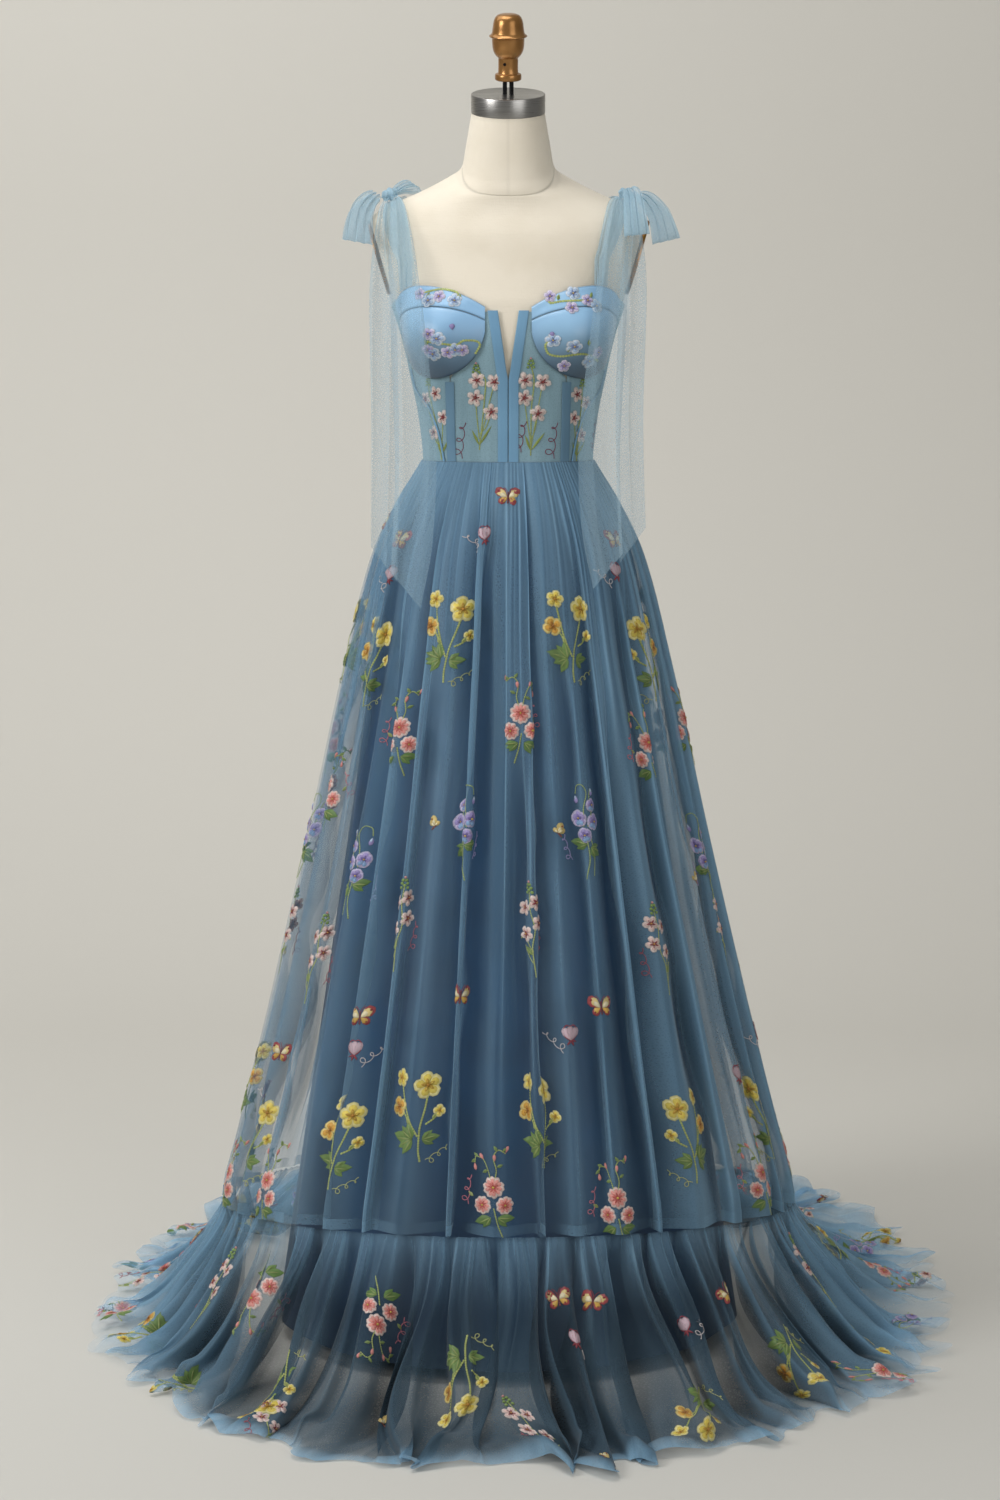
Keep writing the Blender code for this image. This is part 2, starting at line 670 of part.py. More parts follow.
def strap_grid(surface, rows, side):
    """A gathered strap over the shoulder, three points wide."""
    turns = [row.turn_deg for row in rows]
    grid = []
    for turn in np.linspace(turns[0], turns[-1], STRAP_ROWS + 1):
        middle, half_width, clearance = (
            float(np.interp(turn, turns, [row[k] for row in rows])) for k in (1, 2, 3)
        )
        away_from_knot = min(1.0, abs(turn - 90) / 90)
        middle -= side * STRAP_SHIFT * away_from_knot
        grid.append([over_shoulder(surface, side * (middle + half_width * k), turn,
                                   clearance)[0] for k in (-1, 0, 1)])
    return grid


def distance_at(height, x, at_front):
    """The distance round the body, at a height, to a place x out."""
    points, along = half_outline(height)
    middle = OUTLINE_STEPS // 2
    half = slice(0, middle) if at_front else slice(None, middle, -1)
    return float(np.interp(x, points[half, 0], along[half]))


def cup_top_row(line, side):
    """The strap's lowest row, moved onto the cup's top edge."""
    row = []
    for point in line:
        distance = distance_at(CUP_TOP.height, abs(point.x), True)
        height = cup_top_height(distance)
        off = cup_stands_off(height, distance)
        row.append(on_body(height + EDGE_GAP, distance, off, side))
    return row


def back_top_row(line, side):
    """The strap's last row, moved onto the top edge of the bodice's back."""
    ends = [SIDE_SEAM_HEIGHTS[-1], CENTRE_BACK_HEIGHTS[-1]]
    reaches = [half_round(ends[0]) / 2, half_round(ends[1])]
    row = []
    for point in line:
        distance = distance_at(sum(ends) / 2, abs(point.x), False)
        height = float(np.interp(distance, reaches, ends)) + EDGE_GAP
        row.append(on_body(height, distance, BODICE_STANDS_OFF, side))
    return row


def build_straps(surface):
    for label, side in SIDES:
        front = strap_grid(surface, FRONT_STRAP, side)
        front[0] = cup_top_row(front[0], side)
        cloth("strap_front_" + label, front, TULLE, "tulle")
        back = strap_grid(surface, BACK_STRAP, side)
        back[-1] = back_top_row(back[-1], side)
        cloth("strap_back_" + label, back, TULLE, "tulle")


def build_knot(surface, label, side):
    """A knot, which sits on the strap at the top of the shoulder, and its surface."""
    last = FRONT_STRAP[-1]
    stands_off = last.clearance + TULLE / 2 + SEAM_GAP + KNOT_HALF.z
    middle, normal = over_shoulder(surface, side * last.middle, last.turn_deg, stands_off)
    bm = bmesh.new()
    bmesh.ops.create_icosphere(bm, subdivisions=2, radius=1)
    knot = object_from("knot_" + label, bm, "tulle")
    knot.data.transform(Matrix.Diagonal((*KNOT_HALF, 1)))
    knot.data.transform(normal.to_track_quat("Z", "Y").to_matrix().to_4x4())
    knot.data.transform(Matrix.Translation(middle))
    return surface_of(knot)


def seated(grid, knot):
    """The grid with its root moved until the row there just clears the knot."""
    nearest = [(root, *knot.find_nearest(root)[:2]) for root in grid[0]]
    root, place, normal = min(nearest, key=lambda n: (n[0] - n[1]).dot(n[2]))
    move = place + normal * (SEAM_GAP + TULLE / 2) - root
    return [[point + move * max(0.0, 1 - (point - root).length / ROOT_REACH)
             for point in row] for row in grid]


def loop_grid(loop):
    """A bow loop: the strip goes out in front, turns at the end and comes back behind."""
    start, bend, end = Vector(loop.start), Vector(loop.bend), Vector(loop.end)
    grid = []
    for step in range(LOOP_STEPS + 1):
        turn = math.pi * float(np.interp(step / LOOP_STEPS, (0, 1), LOOP_TURN))
        out = math.sin(turn)
        middle = start.lerp(bend, out).lerp(bend.lerp(end, out), out)
        along = bend.lerp(end, out) - start.lerp(bend, out)
        across = Vector(loop.across)
        across = (across - across.project(along)).normalized()
        depth = along.cross(across).normalized()
        depth = -depth if depth.y > 0 else depth
        middle += depth * (LOOP_DEPTH * loop.puff * math.cos(turn) * out)
        half = (loop.root_width + (loop.end_width - loop.root_width) * out) / 2
        grid.append([middle + across * half * (2 * c / LOOP_COLUMNS - 1)
                     for c in range(LOOP_COLUMNS + 1)])
    return grid


def end_grid(rows, lift, side):
    """A hanging tie end, softly rippled across, with its cut end slanted."""
    top, bottom = rows[0].outer_z, rows[-1].outer_z
    grid = []
    for row in rows:
        raised = lift * (top - row.outer_z) / (top - bottom)
        line = []
        for c in range(END_COLUMNS + 1):
            x, z = between((row.outer_x, row.outer_z), (row.inner_x, row.inner_z),
                           c / END_COLUMNS)
            y = row.y + END_RIPPLE * math.cos(math.pi * c)
            line.append(Vector((side * x, y, z + raised)))
        grid.append(line)
    return grid


def build_bows(surface):
    """Each shoulder's knot, and the loops and hanging ends that come out of it."""
    for label, side in SIDES:
        knot = build_knot(surface, label, side)
        lift = LEFT_END_LIFT if side > 0 else 0.0
        for name, rows in (("tie_end_front_", FRONT_END), ("tie_end_outer_", OUTER_END)):
            cloth(name + label, seated(end_grid(rows, lift, side), knot), TULLE, "tulle")
        for loop in LOOPS:
            if loop.name.endswith(label):
                cloth(loop.name, seated(loop_grid(loop), knot), TULLE, "tulle")


def main():
    clear_scene()
    surface = surface_of(build_body())
    build_neck_fittings()
    build_armhole_plates()
    build_stand()
    build_bodice_panels()
    build_bodice_trims()
    build_placket()
    build_cups()
    build_straps(surface)
    build_bows(surface)
    build_lining()
    build_skirt()


main()
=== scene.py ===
"""A sheer tulle ball gown, embroidered with garden flowers, on a limbless dress form.

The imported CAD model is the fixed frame. The cloth shells, the form's fine skin and the
embroidery are built here on the ovals and outlines that the CAD solids follow, in metres,
+Z up, with the gown facing -Y. Left and right are the wearer's, so left is +X. A turn round
the gown is in degrees from the centre front, and is positive towards the wearer's left.
"""

import json
import logging
import math
from collections.abc import Callable, Sequence
from dataclasses import dataclass, field
from enum import Enum

import bpy
import numpy as np
from bpy.types import Node, NodeSocket, NodeTree, Object
from mathutils import Matrix, Vector
from mathutils.bvhtree import BVHTree

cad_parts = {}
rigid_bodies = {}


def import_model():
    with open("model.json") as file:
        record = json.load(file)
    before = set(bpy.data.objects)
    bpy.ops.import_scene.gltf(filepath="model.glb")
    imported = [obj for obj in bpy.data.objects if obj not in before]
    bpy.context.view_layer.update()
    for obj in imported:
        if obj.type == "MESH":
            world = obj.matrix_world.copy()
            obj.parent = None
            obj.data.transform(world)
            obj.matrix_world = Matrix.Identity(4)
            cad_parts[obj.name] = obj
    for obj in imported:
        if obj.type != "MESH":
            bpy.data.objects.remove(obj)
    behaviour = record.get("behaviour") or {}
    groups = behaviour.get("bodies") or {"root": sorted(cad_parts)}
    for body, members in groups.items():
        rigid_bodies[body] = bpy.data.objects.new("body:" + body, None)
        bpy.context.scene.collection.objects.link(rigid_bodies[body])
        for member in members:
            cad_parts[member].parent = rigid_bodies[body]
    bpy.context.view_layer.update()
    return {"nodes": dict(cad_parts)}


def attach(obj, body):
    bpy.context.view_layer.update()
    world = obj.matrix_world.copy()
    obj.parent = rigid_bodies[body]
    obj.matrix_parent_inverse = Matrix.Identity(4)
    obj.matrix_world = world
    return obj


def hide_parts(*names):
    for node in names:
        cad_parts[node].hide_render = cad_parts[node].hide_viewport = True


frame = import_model()
LOG = logging.getLogger("gown")
Array = np.ndarray
Row = tuple[float, ...]
Table = Sequence[Row]
Carry = Callable[[Array, Array, Array], Array]  # flat points, lift and motif number to points
SIDES = {"left": 1, "right": -1}
WAIST = 1.1458
FRONT = -math.pi / 2
SEAM_GAP = 0.0003


# ---------------------------------------------------------------- curves and grids
def eased(at: Array | float, marks: Sequence[float], values: Array) -> Array:
    """Reads a smooth curve that passes through its marks and never overshoots them.

    Args:
        at: Where to read it.
        marks: The marks' places, rising.
        values: The value, or row of values, at each mark.

    Returns:
        The value, or row of values, at each place.
    """
    marks, values = np.asarray(marks, float), np.asarray(values, float)
    flat = values.ndim == 1
    values = values[:, None] if flat else values
    run = np.diff(marks)[:, None]
    slope = np.diff(values, axis=0) / run
    before, after = slope[:-1], slope[1:]
    product = before * after
    mean = 2 * product / np.where(product > 0, before + after, 1.0)
    tangent = np.vstack([slope[:1], np.where(product > 0, mean, 0.0), slope[-1:]])
    at = np.clip(np.asarray(at, float), marks[0], marks[-1])
    k = np.clip(np.searchsorted(marks, at, side="right") - 1, 0, len(marks) - 2)
    t = ((at - marks[k]) / run[k, 0])[..., None]
    low = values[k] * (1 + 2 * t) * (1 - t) ** 2 + values[k + 1] * t * t * (3 - 2 * t)
    bend = run[k] * (tangent[k] * t * (1 - t) ** 2 + tangent[k + 1] * t * t * (t - 1))
    return (low + bend)[..., 0] if flat else low + bend


def spaced(values: Table, count: int) -> Array:
    """Reads a smooth curve through evenly spaced values at a number of even places."""
    return eased(np.linspace(0, len(values) - 1, count), range(len(values)), values)


def read(table: Table, at: Array) -> Array:
    """Reads each column of a table, one after the other, at places of its first column."""
    table = np.array(table)
    return np.moveaxis(eased(at, table[:, 0], table[:, 1:]), -1, 0)


def faded(at: Array, start: Array | float, end: Array | float) -> Array:
    """A smooth step from 0 at start to 1 at end."""
    t = np.clip((at - start) / (np.asarray(end) - start), 0, 1)
    return t * t * (3 - 2 * t)


def hump(away: Array, width: float, power: int = 2) -> Array:
    """A smooth hump, 1 in its middle and about a third at its width."""
    return np.exp(-np.abs(away / width) ** power)


def oval(turn: Array, side: Array, front: Array, back: Array, roundness: Array) -> Array:
    """Points of an oval, x and y last; it is an ellipse where roundness is 2.

    Args:
        turn: Angles in radians, -90 degrees at the front and 0 at +X.
        side: The reach to each side.
        front: The reach to the front.
        back: The reach to the back.
        roundness: How square its corners are.

    Returns:
        The points.
    """
    across, along = np.cos(turn), np.sin(turn)
    x = np.sign(across) * np.abs(across) ** (2 / roundness) * side
    y = np.sign(along) * np.abs(along) ** (2 / roundness) * np.where(along < 0, front, back)
    return np.stack(np.broadcast_arrays(x, y), -1)


def stacked(*parts: Array | float) -> Array:
    """Coordinates put together as points, with x, y and z last."""
    return np.stack(np.broadcast_arrays(*parts), -1)


def lengths(points: Array, axis: int) -> Array:
    """The length run along an axis of a grid of points, from 0 at its start."""
    steps = np.linalg.norm(np.diff(points, axis=axis), axis=-1)
    start = np.zeros_like(np.take(steps, [0], axis=axis))
    return np.cumsum(np.concatenate([start, steps], axis=axis), axis=axis)


def facing(points: Array) -> Array:
    """The unit normal at each point of a grid, to the left of its rows' run."""
    normal = np.cross(np.gradient(points, axis=1), np.gradient(points, axis=0))
    return normal / np.maximum(np.linalg.norm(normal, axis=-1, keepdims=True), 1e-12)


def between(grid: Array, row: Array, column: Array) -> Array:
    """Reads a grid of vectors between its points.

    Args:
        grid: The grid, such as a sheet's points or normals.
        row: Row numbers, with fractions.
        column: Column numbers, with fractions.

    Returns:
        One vector for each place.
    """
    i = np.clip(row.astype(int), 0, grid.shape[0] - 2)
    j = np.clip(column.astype(int), 0, grid.shape[1] - 2)
    a, b = (row - i)[..., None], (column - j)[..., None]
    low = grid[i, j] * (1 - b) + grid[i, j + 1] * b
    return low * (1 - a) + (grid[i + 1, j] * (1 - b) + grid[i + 1, j + 1] * b) * a


def grid_faces(rows: int, columns: int, closed: bool = False) -> Array:
    """The four-sided faces of a grid of vertices.

    Args:
        rows: How many rows of vertices there are.
        columns: How many vertices a row has.
        closed: Whether the last column joins the first.

    Returns:
        Four vertex numbers for each face.
    """
    r = np.arange(rows - 1)[:, None] * columns
    c = np.arange(columns if closed else columns - 1)[None, :]
    after = (c + 1) % columns
    return np.stack([r + c, r + after, r + columns + after, r + columns + c], -1).reshape(-1, 4)


def capped_faces(rows: int, columns: int) -> list[list[int]]:
    """A closed grid's faces, with a fan at each end.

    Args:
        rows: How many rows of vertices there are.
        columns: How many vertices a row has.

    Returns:
        The vertex numbers of each face; the ends' middles come right after the grid.
    """
    faces, low = grid_faces(rows, columns, True).tolist(), rows * columns
    last = low - columns
    for c in range(columns):
        after = (c + 1) % columns
        faces += [[low, after, c], [low + 1, last + c, last + after]]
    return faces


def add_object(name: str, data: bpy.types.ID) -> Object:
    """Puts a new object with this mesh, lamp or camera at the scene's origin."""
    obj = bpy.data.objects.new(name, data)
    bpy.context.scene.collection.objects.link(obj)
    return obj


def add_piece(name: str, points: Array, faces: Array, finish: "Finish",
              nodes: Sequence[str] = (), sharp_deg: float = 180.0,
              values: dict[str, Array] | None = None) -> Object:
    """Makes a smooth mesh piece on the frame's root body.

    Args:
        name: The piece's name.
        points: Its vertices, one row each.
        faces: Vertex numbers, three or four to a face.
        finish: What it is made of.
        nodes: The CAD nodes that it stands for.
        sharp_deg: The angle past which an edge stays sharp.
        values: A number for each vertex, by attribute.

    Returns:
        The new object, at the origin.
    """
    mesh = bpy.data.meshes.new(name)
    mesh.from_pydata([tuple(p) for p in points], [], faces)
    mesh.shade_smooth()
    if sharp_deg < 180:
        mesh.set_sharp_from_angle(angle=math.radians(sharp_deg))
    mesh.materials.append(finish.material())
    for label, each in (values or {}).items():
        layer = mesh.attributes.new(label, "FLOAT", "POINT")
        layer.data.foreach_set("value", each.astype(np.float32).ravel())
    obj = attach(add_object(name, mesh), "root")
    if nodes:
        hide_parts(*nodes)
    return obj


@dataclass
class Shell:
    """A sheet of cloth through a grid of points, with the length run along it each way.

    cover is the share of the light that it stops at each point, shade the painted shade and light
    that scales its colour there, and smooth the same grid without its folds.
    """

    points: Array
    closed: bool = False
    cover: Array | float = 1.0
    smooth: Array | None = None
    shade: Array | float = 1.0

    def __post_init__(self) -> None:
        """Measures the sheet along its rows and columns."""
        self.across = lengths(self.points, 1)
        self.down = lengths(self.points, 0)
        self.laid = self.across if self.smooth is None else lengths(self.smooth, 1)
        self.outward = facing(self.points)

    def carry(self, row: float, column: float, flat: Array, lift: Array) -> Array:
        """Lays flat points on the sheet round one place, following it along its folds.

        Args:
            row: The place's row, with its fraction.
            column: The place's column, with its fraction.
            flat: x across and y up from the place, in metres.
            lift: How far each point stands out from the sheet.

        Returns:
            The points in the object's frame.
        """
        rows, columns = (np.arange(n) for n in self.points.shape[:2])
        down = self.down[:, int(round(column))]
        r = np.interp(np.interp(row, rows, down) - flat[:, 1], down, rows)
        low, high = int(r.min()), min(len(rows), int(r.max()) + 3)
        reach = np.stack([np.interp(np.interp(column, columns, line) + flat[:, 0], line, columns)
                          for line in self.laid[low:high]])
        i = (r - low).astype(int)
        share, each = r - low - i, np.arange(len(r))
        after = np.minimum(i + 1, len(reach) - 1)
        c = reach[i, each] * (1 - share) + reach[after, each] * share
        return between(self.points, r, c) - between(self.outward, r, c) * lift[:, None]

    def cut(self) -> tuple[float, float, float]:
        """The width round the widest row, the length down, and the area of the sheet."""
        p, width = self.points, float(self.across[:, -1].max())
        if self.closed:
            width = float((self.across[:, -1] * (1 + 1 / (p.shape[1] - 1))).max())
            p = np.concatenate([p, p[:, :1]], 1)
        a, b, c, d = p[:-1, :-1], p[:-1, 1:], p[1:, 1:], p[1:, :-1]
        halves = np.cross(b - a, c - a), np.cross(c - a, d - a)
        area = float(sum(np.linalg.norm(h, axis=-1).sum() for h in halves) / 2)
        length = float(self.down[-1].max())
        return width, length, min(area, width * length)

    def piece(self, name: str, finish: "Finish", turned: bool = False, held: str = "",
              rests_on: Sequence[str] = (), worked: Sequence[Object] = (),
              nodes: Sequence[str] = ()) -> None:
        """Makes the sheet a piece, with a UV map of its cut.

        Args:
            name: The CAD node's name, or the piece's where it stands for several nodes.
            finish: What it is made of.
            turned: Whether its faces look the other way.
            held: How the sheet is held, or "" where it is no sheet; it is not used.
            rests_on: What it lies on or hangs from; it is not used.
            worked: What is sewn to it; it is not used.
            nodes: The CAD nodes that it stands for, where they are several.
        """
        shape = self.points.shape[:2]
        wide = np.arange(shape[1]) * self.across.max() / shape[1] if self.closed else self.across
        uv = np.stack([np.broadcast_to(wide, shape), self.down], -1).reshape(-1, 2)
        faces = grid_faces(*shape, self.closed)[:, ::-1 if turned else 1]
        values = {"cover": np.broadcast_to(self.cover, shape),
                  "shade": np.broadcast_to(self.shade, shape)}
        obj = add_piece(name if nodes else f"{name}_{finish.cloth}", self.points.reshape(-1, 3),
                        faces.tolist(), finish, nodes or [name], values=values)
        layer = obj.data.uv_layers.new(name="cut")
        layer.data.foreach_set("uv", uv[faces.ravel()].astype(np.float32).ravel())


# ---------------------------------------------------------------- finishes
def linear(code: str) -> Row:
    """Turns an sRGB hex colour such as "#80a0c0" into linear light, with full alpha."""
    parts = [int(code[i:i + 2], 16) / 255 for i in (1, 3, 5)]
    return (*(p / 12.92 if p <= 0.04045 else ((p + 0.055) / 1.055) ** 2.4 for p in parts), 1.0)


def add_node(tree: NodeTree, kind: str, values: dict[str | int, object] | None = None) -> Node:
    """Adds a node, sets it up and links what feeds it.

    Args:
        tree: The tree it goes in.
        kind: The node's type name.
        values: First the node's own properties, which have names in small letters, and then
            its inputs by name or number: a value, or an output socket to link.

    Returns:
        The new node.
    """
    node = tree.nodes.new(kind)
    for name, value in (values or {}).items():
        if str(name).islower():
            setattr(node, name, value)
        elif isinstance(value, NodeSocket):
            tree.links.new(value, node.inputs[name])
        else:
            node.inputs[name].default_value = value
    return node


def place_on(tree: NodeTree, cut: bool, scale: Row = (1, 1, 1)) -> NodeSocket:
    """Where a pattern lies on a piece.

    Args:
        tree: The material's tree.
        cut: Whether it lies on the flat cut cloth, in metres, or in the object.
        scale: How far it is squeezed along each axis.

    Returns:
        The place as a socket.
    """
    if cut:
        place = add_node(tree, "ShaderNodeUVMap", {"uv_map": "cut"}).outputs["UV"]
    else:
        place = add_node(tree, "ShaderNodeTexCoord").outputs["Object"]
    return add_node(tree, "ShaderNodeMapping", {"Vector": place, "Scale": scale}).outputs[0]


@dataclass(frozen=True)
class Finish:
    """What a piece is made of: a named material, built when first used, and a slot name that nothing
    reads.
    """

    name: str
    slot: str = ""
    colour: str = "#808080"
    deep: str = "#707070"
    roughness: float = 0.5
    metallic: float = 0.0
    through: float = 0.0
    sheen: float = 0.0
    sheen_roughness: float = 0.5
    cloth: str = ""

    def material(self) -> bpy.types.Material:
        """The finish as a Blender material, made once."""
        label = "look_" + self.name  # the frame has materials under some of the plain names
        if label in bpy.data.materials:
            return bpy.data.materials[label]
        made = bpy.data.materials.new(label)
        made.use_nodes = True
        tree = made.node_tree
        tree.nodes.clear()
        shader = add_node(tree, "ShaderNodeBsdfPrincipled", {
            "Roughness": self.roughness, "Metallic": self.metallic, "Sheen Weight": self.sheen,
            "Sheen Roughness": self.sheen_roughness})
        cover = self.dress(tree, shader)
        surface = shader.outputs["BSDF"]
        if self.through:
            colour = shader.inputs["Base Color"].links[0].from_socket
            glow = add_node(tree, "ShaderNodeBsdfTranslucent", {"Color": colour})
            surface = add_node(tree, "ShaderNodeMixShader", {
                0: self.through, 1: surface, 2: glow.outputs[0]}).outputs[0]
        if cover:
            clear = add_node(tree, "ShaderNodeBsdfTransparent").outputs[0]
            surface = add_node(tree, "ShaderNodeMixShader", {
                0: cover, 1: clear, 2: surface}).outputs[0]
        add_node(tree, "ShaderNodeOutputMaterial", {"Surface": surface})
        return made

    def dress(self, tree: NodeTree, shader: Node) -> NodeSocket | None:
        """Adds the finish's own pattern.

        Args:
            tree: The material's tree.
            shader: Its shader.

        Returns:
            What share of the light the finish stops, or None where it stops all.
        """

    def mottle(self, tree: NodeTree, shader: Node, place: NodeSocket, per_metre: float,
               low: float = 0.35, high: float = 0.65) -> Node:
        """Colours the shader with a soft mix of the finish's two colours.

        Args:
            tree: The material's tree.
            shader: Its shader.
            place: The socket that gives the pattern's place.
            per_metre: How many patches there are to the metre.
            low: The noise that is all the deep colour.
            high: The noise that is all the main colour.

        Returns:
            The noise node.
        """
        noise = add_node(tree, "ShaderNodeTexNoise", {
            "Vector": place, "Scale": per_metre, "Detail": 3.0})
        ramp = add_node(tree, "ShaderNodeValToRGB", {"Fac": noise.outputs["Fac"]})
        for stop, at, code in zip(ramp.color_ramp.elements, (low, high), (self.deep, self.colour)):
            stop.position, stop.color = at, linear(code)
        tree.links.new(ramp.outputs["Color"], shader.inputs["Base Color"])
        return noise


def dim(tree: NodeTree, shader: Node) -> None:
    """Scales the shader's colour by the mesh's painted shade, which darkens folds, seams and low parts
    and lightens parts painted as lit.
    """
    colour = shader.inputs["Base Color"].links[0].from_socket
    shade = add_node(tree, "ShaderNodeAttribute", {"attribute_name": "shade"})
    dimmed = add_node(tree, "ShaderNodeVectorMath", {
        "operation": "SCALE", 0: colour, "Scale": shade.outputs["Fac"]})
    tree.links.new(dimmed.outputs["Vector"], shader.inputs["Base Color"])


def raised(tree: NodeTree, shader: Node, height: NodeSocket, strength: float,
           distance: float) -> None:
    """Gives the shader a bump.

    Args:
        tree: The material's tree.
        shader: Its shader.
        height: The socket that gives the bump's height.
        strength: How much of the bump shows.
        distance: Its height in metres where the socket gives 1.
    """
    bump = add_node(tree, "ShaderNodeBump", {
        "Height": height, "Strength": strength, "Distance": distance})
    tree.links.new(bump.outputs["Normal"], shader.inputs["Normal"])


@dataclass(frozen=True)
class Net(Finish):
    """Nylon tulle: a fine knotted net, so it is sheer, and denser where it is seen aslant.

    The real mesh is about 1 mm, which is drawn at 2.5 mm to show at all.
    """

    cells_per_metre: float = 400.0
    streaks_per_metre: float = 55.0
    streak_squeeze: Row = (1.0, 0.06, 1.0)
    cover_at_thread: float = 1.12
    cover_at_hole: float = 0.86
    shine: float = 0.2
    sheen_roughness: float = 0.4
    cloth: str = "tulle"

    def dress(self, tree: NodeTree, shader: Node) -> NodeSocket | None:
        """Streaks the colour along the grain, darkens it by the mesh's painted shade, and lets the
        net's holes show through.
        """
        place = place_on(tree, True, self.streak_squeeze)
        self.mottle(tree, shader, place, self.streaks_per_metre)
        dim(tree, shader)
        cells = add_node(tree, "ShaderNodeTexVoronoi", {
            "feature": "DISTANCE_TO_EDGE", "Vector": place_on(tree, True),
            "Scale": self.cells_per_metre})
        net = add_node(tree, "ShaderNodeMapRange", {
            "Value": cells.outputs["Distance"], "From Max": 0.5, "To Min": self.cover_at_thread,
            "To Max": self.cover_at_hole})
        cover = add_node(tree, "ShaderNodeAttribute", {"attribute_name": "cover"})
        shader.inputs["Specular IOR Level"].default_value = self.shine
        return add_node(tree, "ShaderNodeMath", {
            "operation": "MULTIPLY", "use_clamp": True, 0: cover.outputs["Fac"],
            1: net.outputs["Result"]}).outputs["Value"]


@dataclass(frozen=True)
class Satin(Finish):
    """Polyester satin: long floats of bright yarn, so it gleams softly along its folds."""

    yarns_per_metre: float = 900.0
    yarn_squeeze: Row = (1.0, 0.12, 1.0)
    patches_per_metre: float = 9.0
    bump: Row = (0.12, 0.001)
    sheen: float = 0.3
    sheen_roughness: float = 0.35
    cloth: str = "satin"

    def dress(self, tree: NodeTree, shader: Node) -> NodeSocket | None:
        """Mottles the colour, scales it by the mesh's painted shade, and raises a very fine rib."""
        noise = self.mottle(tree, shader, place_on(tree, False), self.patches_per_metre)
        dim(tree, shader)
        rib = add_node(tree, "ShaderNodeTexNoise", {
            "Vector": place_on(tree, True, self.yarn_squeeze), "Scale": self.yarns_per_metre,
            "Detail": 2.0})
        both = add_node(tree, "ShaderNodeMath", {
            "operation": "MULTIPLY_ADD", 0: noise.outputs["Fac"], 1: 0.6, 2: rib.outputs["Fac"]})
        raised(tree, shader, both.outputs["Value"], *self.bump)


@dataclass(frozen=True)
class Linen(Finish):
    """Plain-woven linen over wadding: matt, cream, with uneven threads both ways.

    The real threads are 0.5 mm apart and are drawn at 1.6 mm.
    """

    threads_per_metre: float = 620.0
    patches_per_metre: float = 14.0
    bump: Row = (0.35, 0.0006)

    def dress(self, tree: NodeTree, shader: Node) -> NodeSocket | None:
        """Mottles the colour, scales it by the mesh's painted shade, and weaves a bump of two crossing
        thread noises.
        """
        self.mottle(tree, shader, place_on(tree, False), self.patches_per_metre, 0.2, 0.6)
        dim(tree, shader)
        warp, weft = (add_node(tree, "ShaderNodeTexNoise", {
            "Vector": place_on(tree, False, scale), "Detail": 1.0,
            "Scale": self.threads_per_metre}).outputs["Fac"]
            for scale in ((1.0, 1.0, 0.1), (0.1, 0.1, 1.0)))
        weave = add_node(tree, "ShaderNodeMath", {"operation": "ADD", 0: warp, 1: weft})
        raised(tree, shader, weave.outputs["Value"], *self.bump)


@dataclass(frozen=True)
class Metal(Finish):
    """Turned or rolled metal: its polish is broken by fine lines left by the tool."""

    lines: Row = (6.0, 6.0, 900.0)
    patches_per_metre: float = 40.0
    unevenness: float = 0.12

    def dress(self, tree: NodeTree, shader: Node) -> NodeSocket | None:
        """Mottles the colour slightly and varies the roughness along the tool lines."""
        self.mottle(tree, shader, place_on(tree, False), self.patches_per_metre)
        noise = add_node(tree, "ShaderNodeTexNoise", {
            "Vector": place_on(tree, False, self.lines), "Scale": 1.0})
        rough = add_node(tree, "ShaderNodeMapRange", {
            "Value": noise.outputs["Fac"], "To Min": max(0.02, self.roughness - self.unevenness),
            "To Max": self.roughness + self.unevenness})
        tree.links.new(rough.outputs["Result"], shader.inputs["Roughness"])


@dataclass(frozen=True)
class Floss(Finish):
    """Rayon embroidery floss: bright, laid in close stitches; each stitch has its colour."""

    def dress(self, tree: NodeTree, shader: Node) -> NodeSocket | None:
        """Reads the colour of each stitch from the mesh, times its shade: painted shade at each
        stitch's rim and a painted highlight on its crown, with the stitch rows' and leaf ribs' own
        tones.
        """
        thread, shade = (add_node(tree, "ShaderNodeAttribute", {"attribute_name": name}).outputs
                         for name in ("thread", "shade"))
        both = add_node(tree, "ShaderNodeVectorMath", {
            "operation": "MULTIPLY", 0: thread["Color"], 1: shade["Vector"]})
        tree.links.new(both.outputs["Vector"], shader.inputs["Base Color"])


OVERLAY_NET = Net("nylon_tulle", "tulle", "#91b8d2", "#80a8c4", 0.85, through=0.32, sheen=0.2)
BODICE_NET = Net("bodice_tulle", "tulle", "#9abbc9", "#8eafbd", 0.85, through=0.2, sheen=0.1)
TIE_NET = Net("tie_tulle", "tulle", "#b4d0de", "#a8c6d6", 0.8, through=0.4, sheen=0.2)
LINING_SATIN = Satin("lining_satin", "lining_satin", "#17456c", "#133b5d", 0.5, sheen=0.06)
CUP_SATIN = Satin("cup_satin", "cup_satin", "#9cc6e6", "#90bade", 0.34, sheen=0.12)
CASING_TAPE = Satin("casing_tape", "cup_satin", "#6f9bba", "#6691b0", 0.5, cloth="tape")
SEAM_TAPE = Satin("seam_tape", "cup_satin", "#6488a0", "#5d8199", 0.6, sheen=0.1, cloth="tape")
COVER_LINEN = Linen("cover_linen", "linen", "#dcd3c2", "#d3c9b6", 0.9, sheen=0.15)
BRUSHED_STEEL = Metal("brushed_steel", "chrome", "#a3a19e", "#9c9a97", 0.30, 1.0)
COPPER_LACQUER = Metal("copper_lacquer", "copper_lacquer", "#ab7c48", "#946836", 0.26, 0.6,
                       unevenness=0.03)
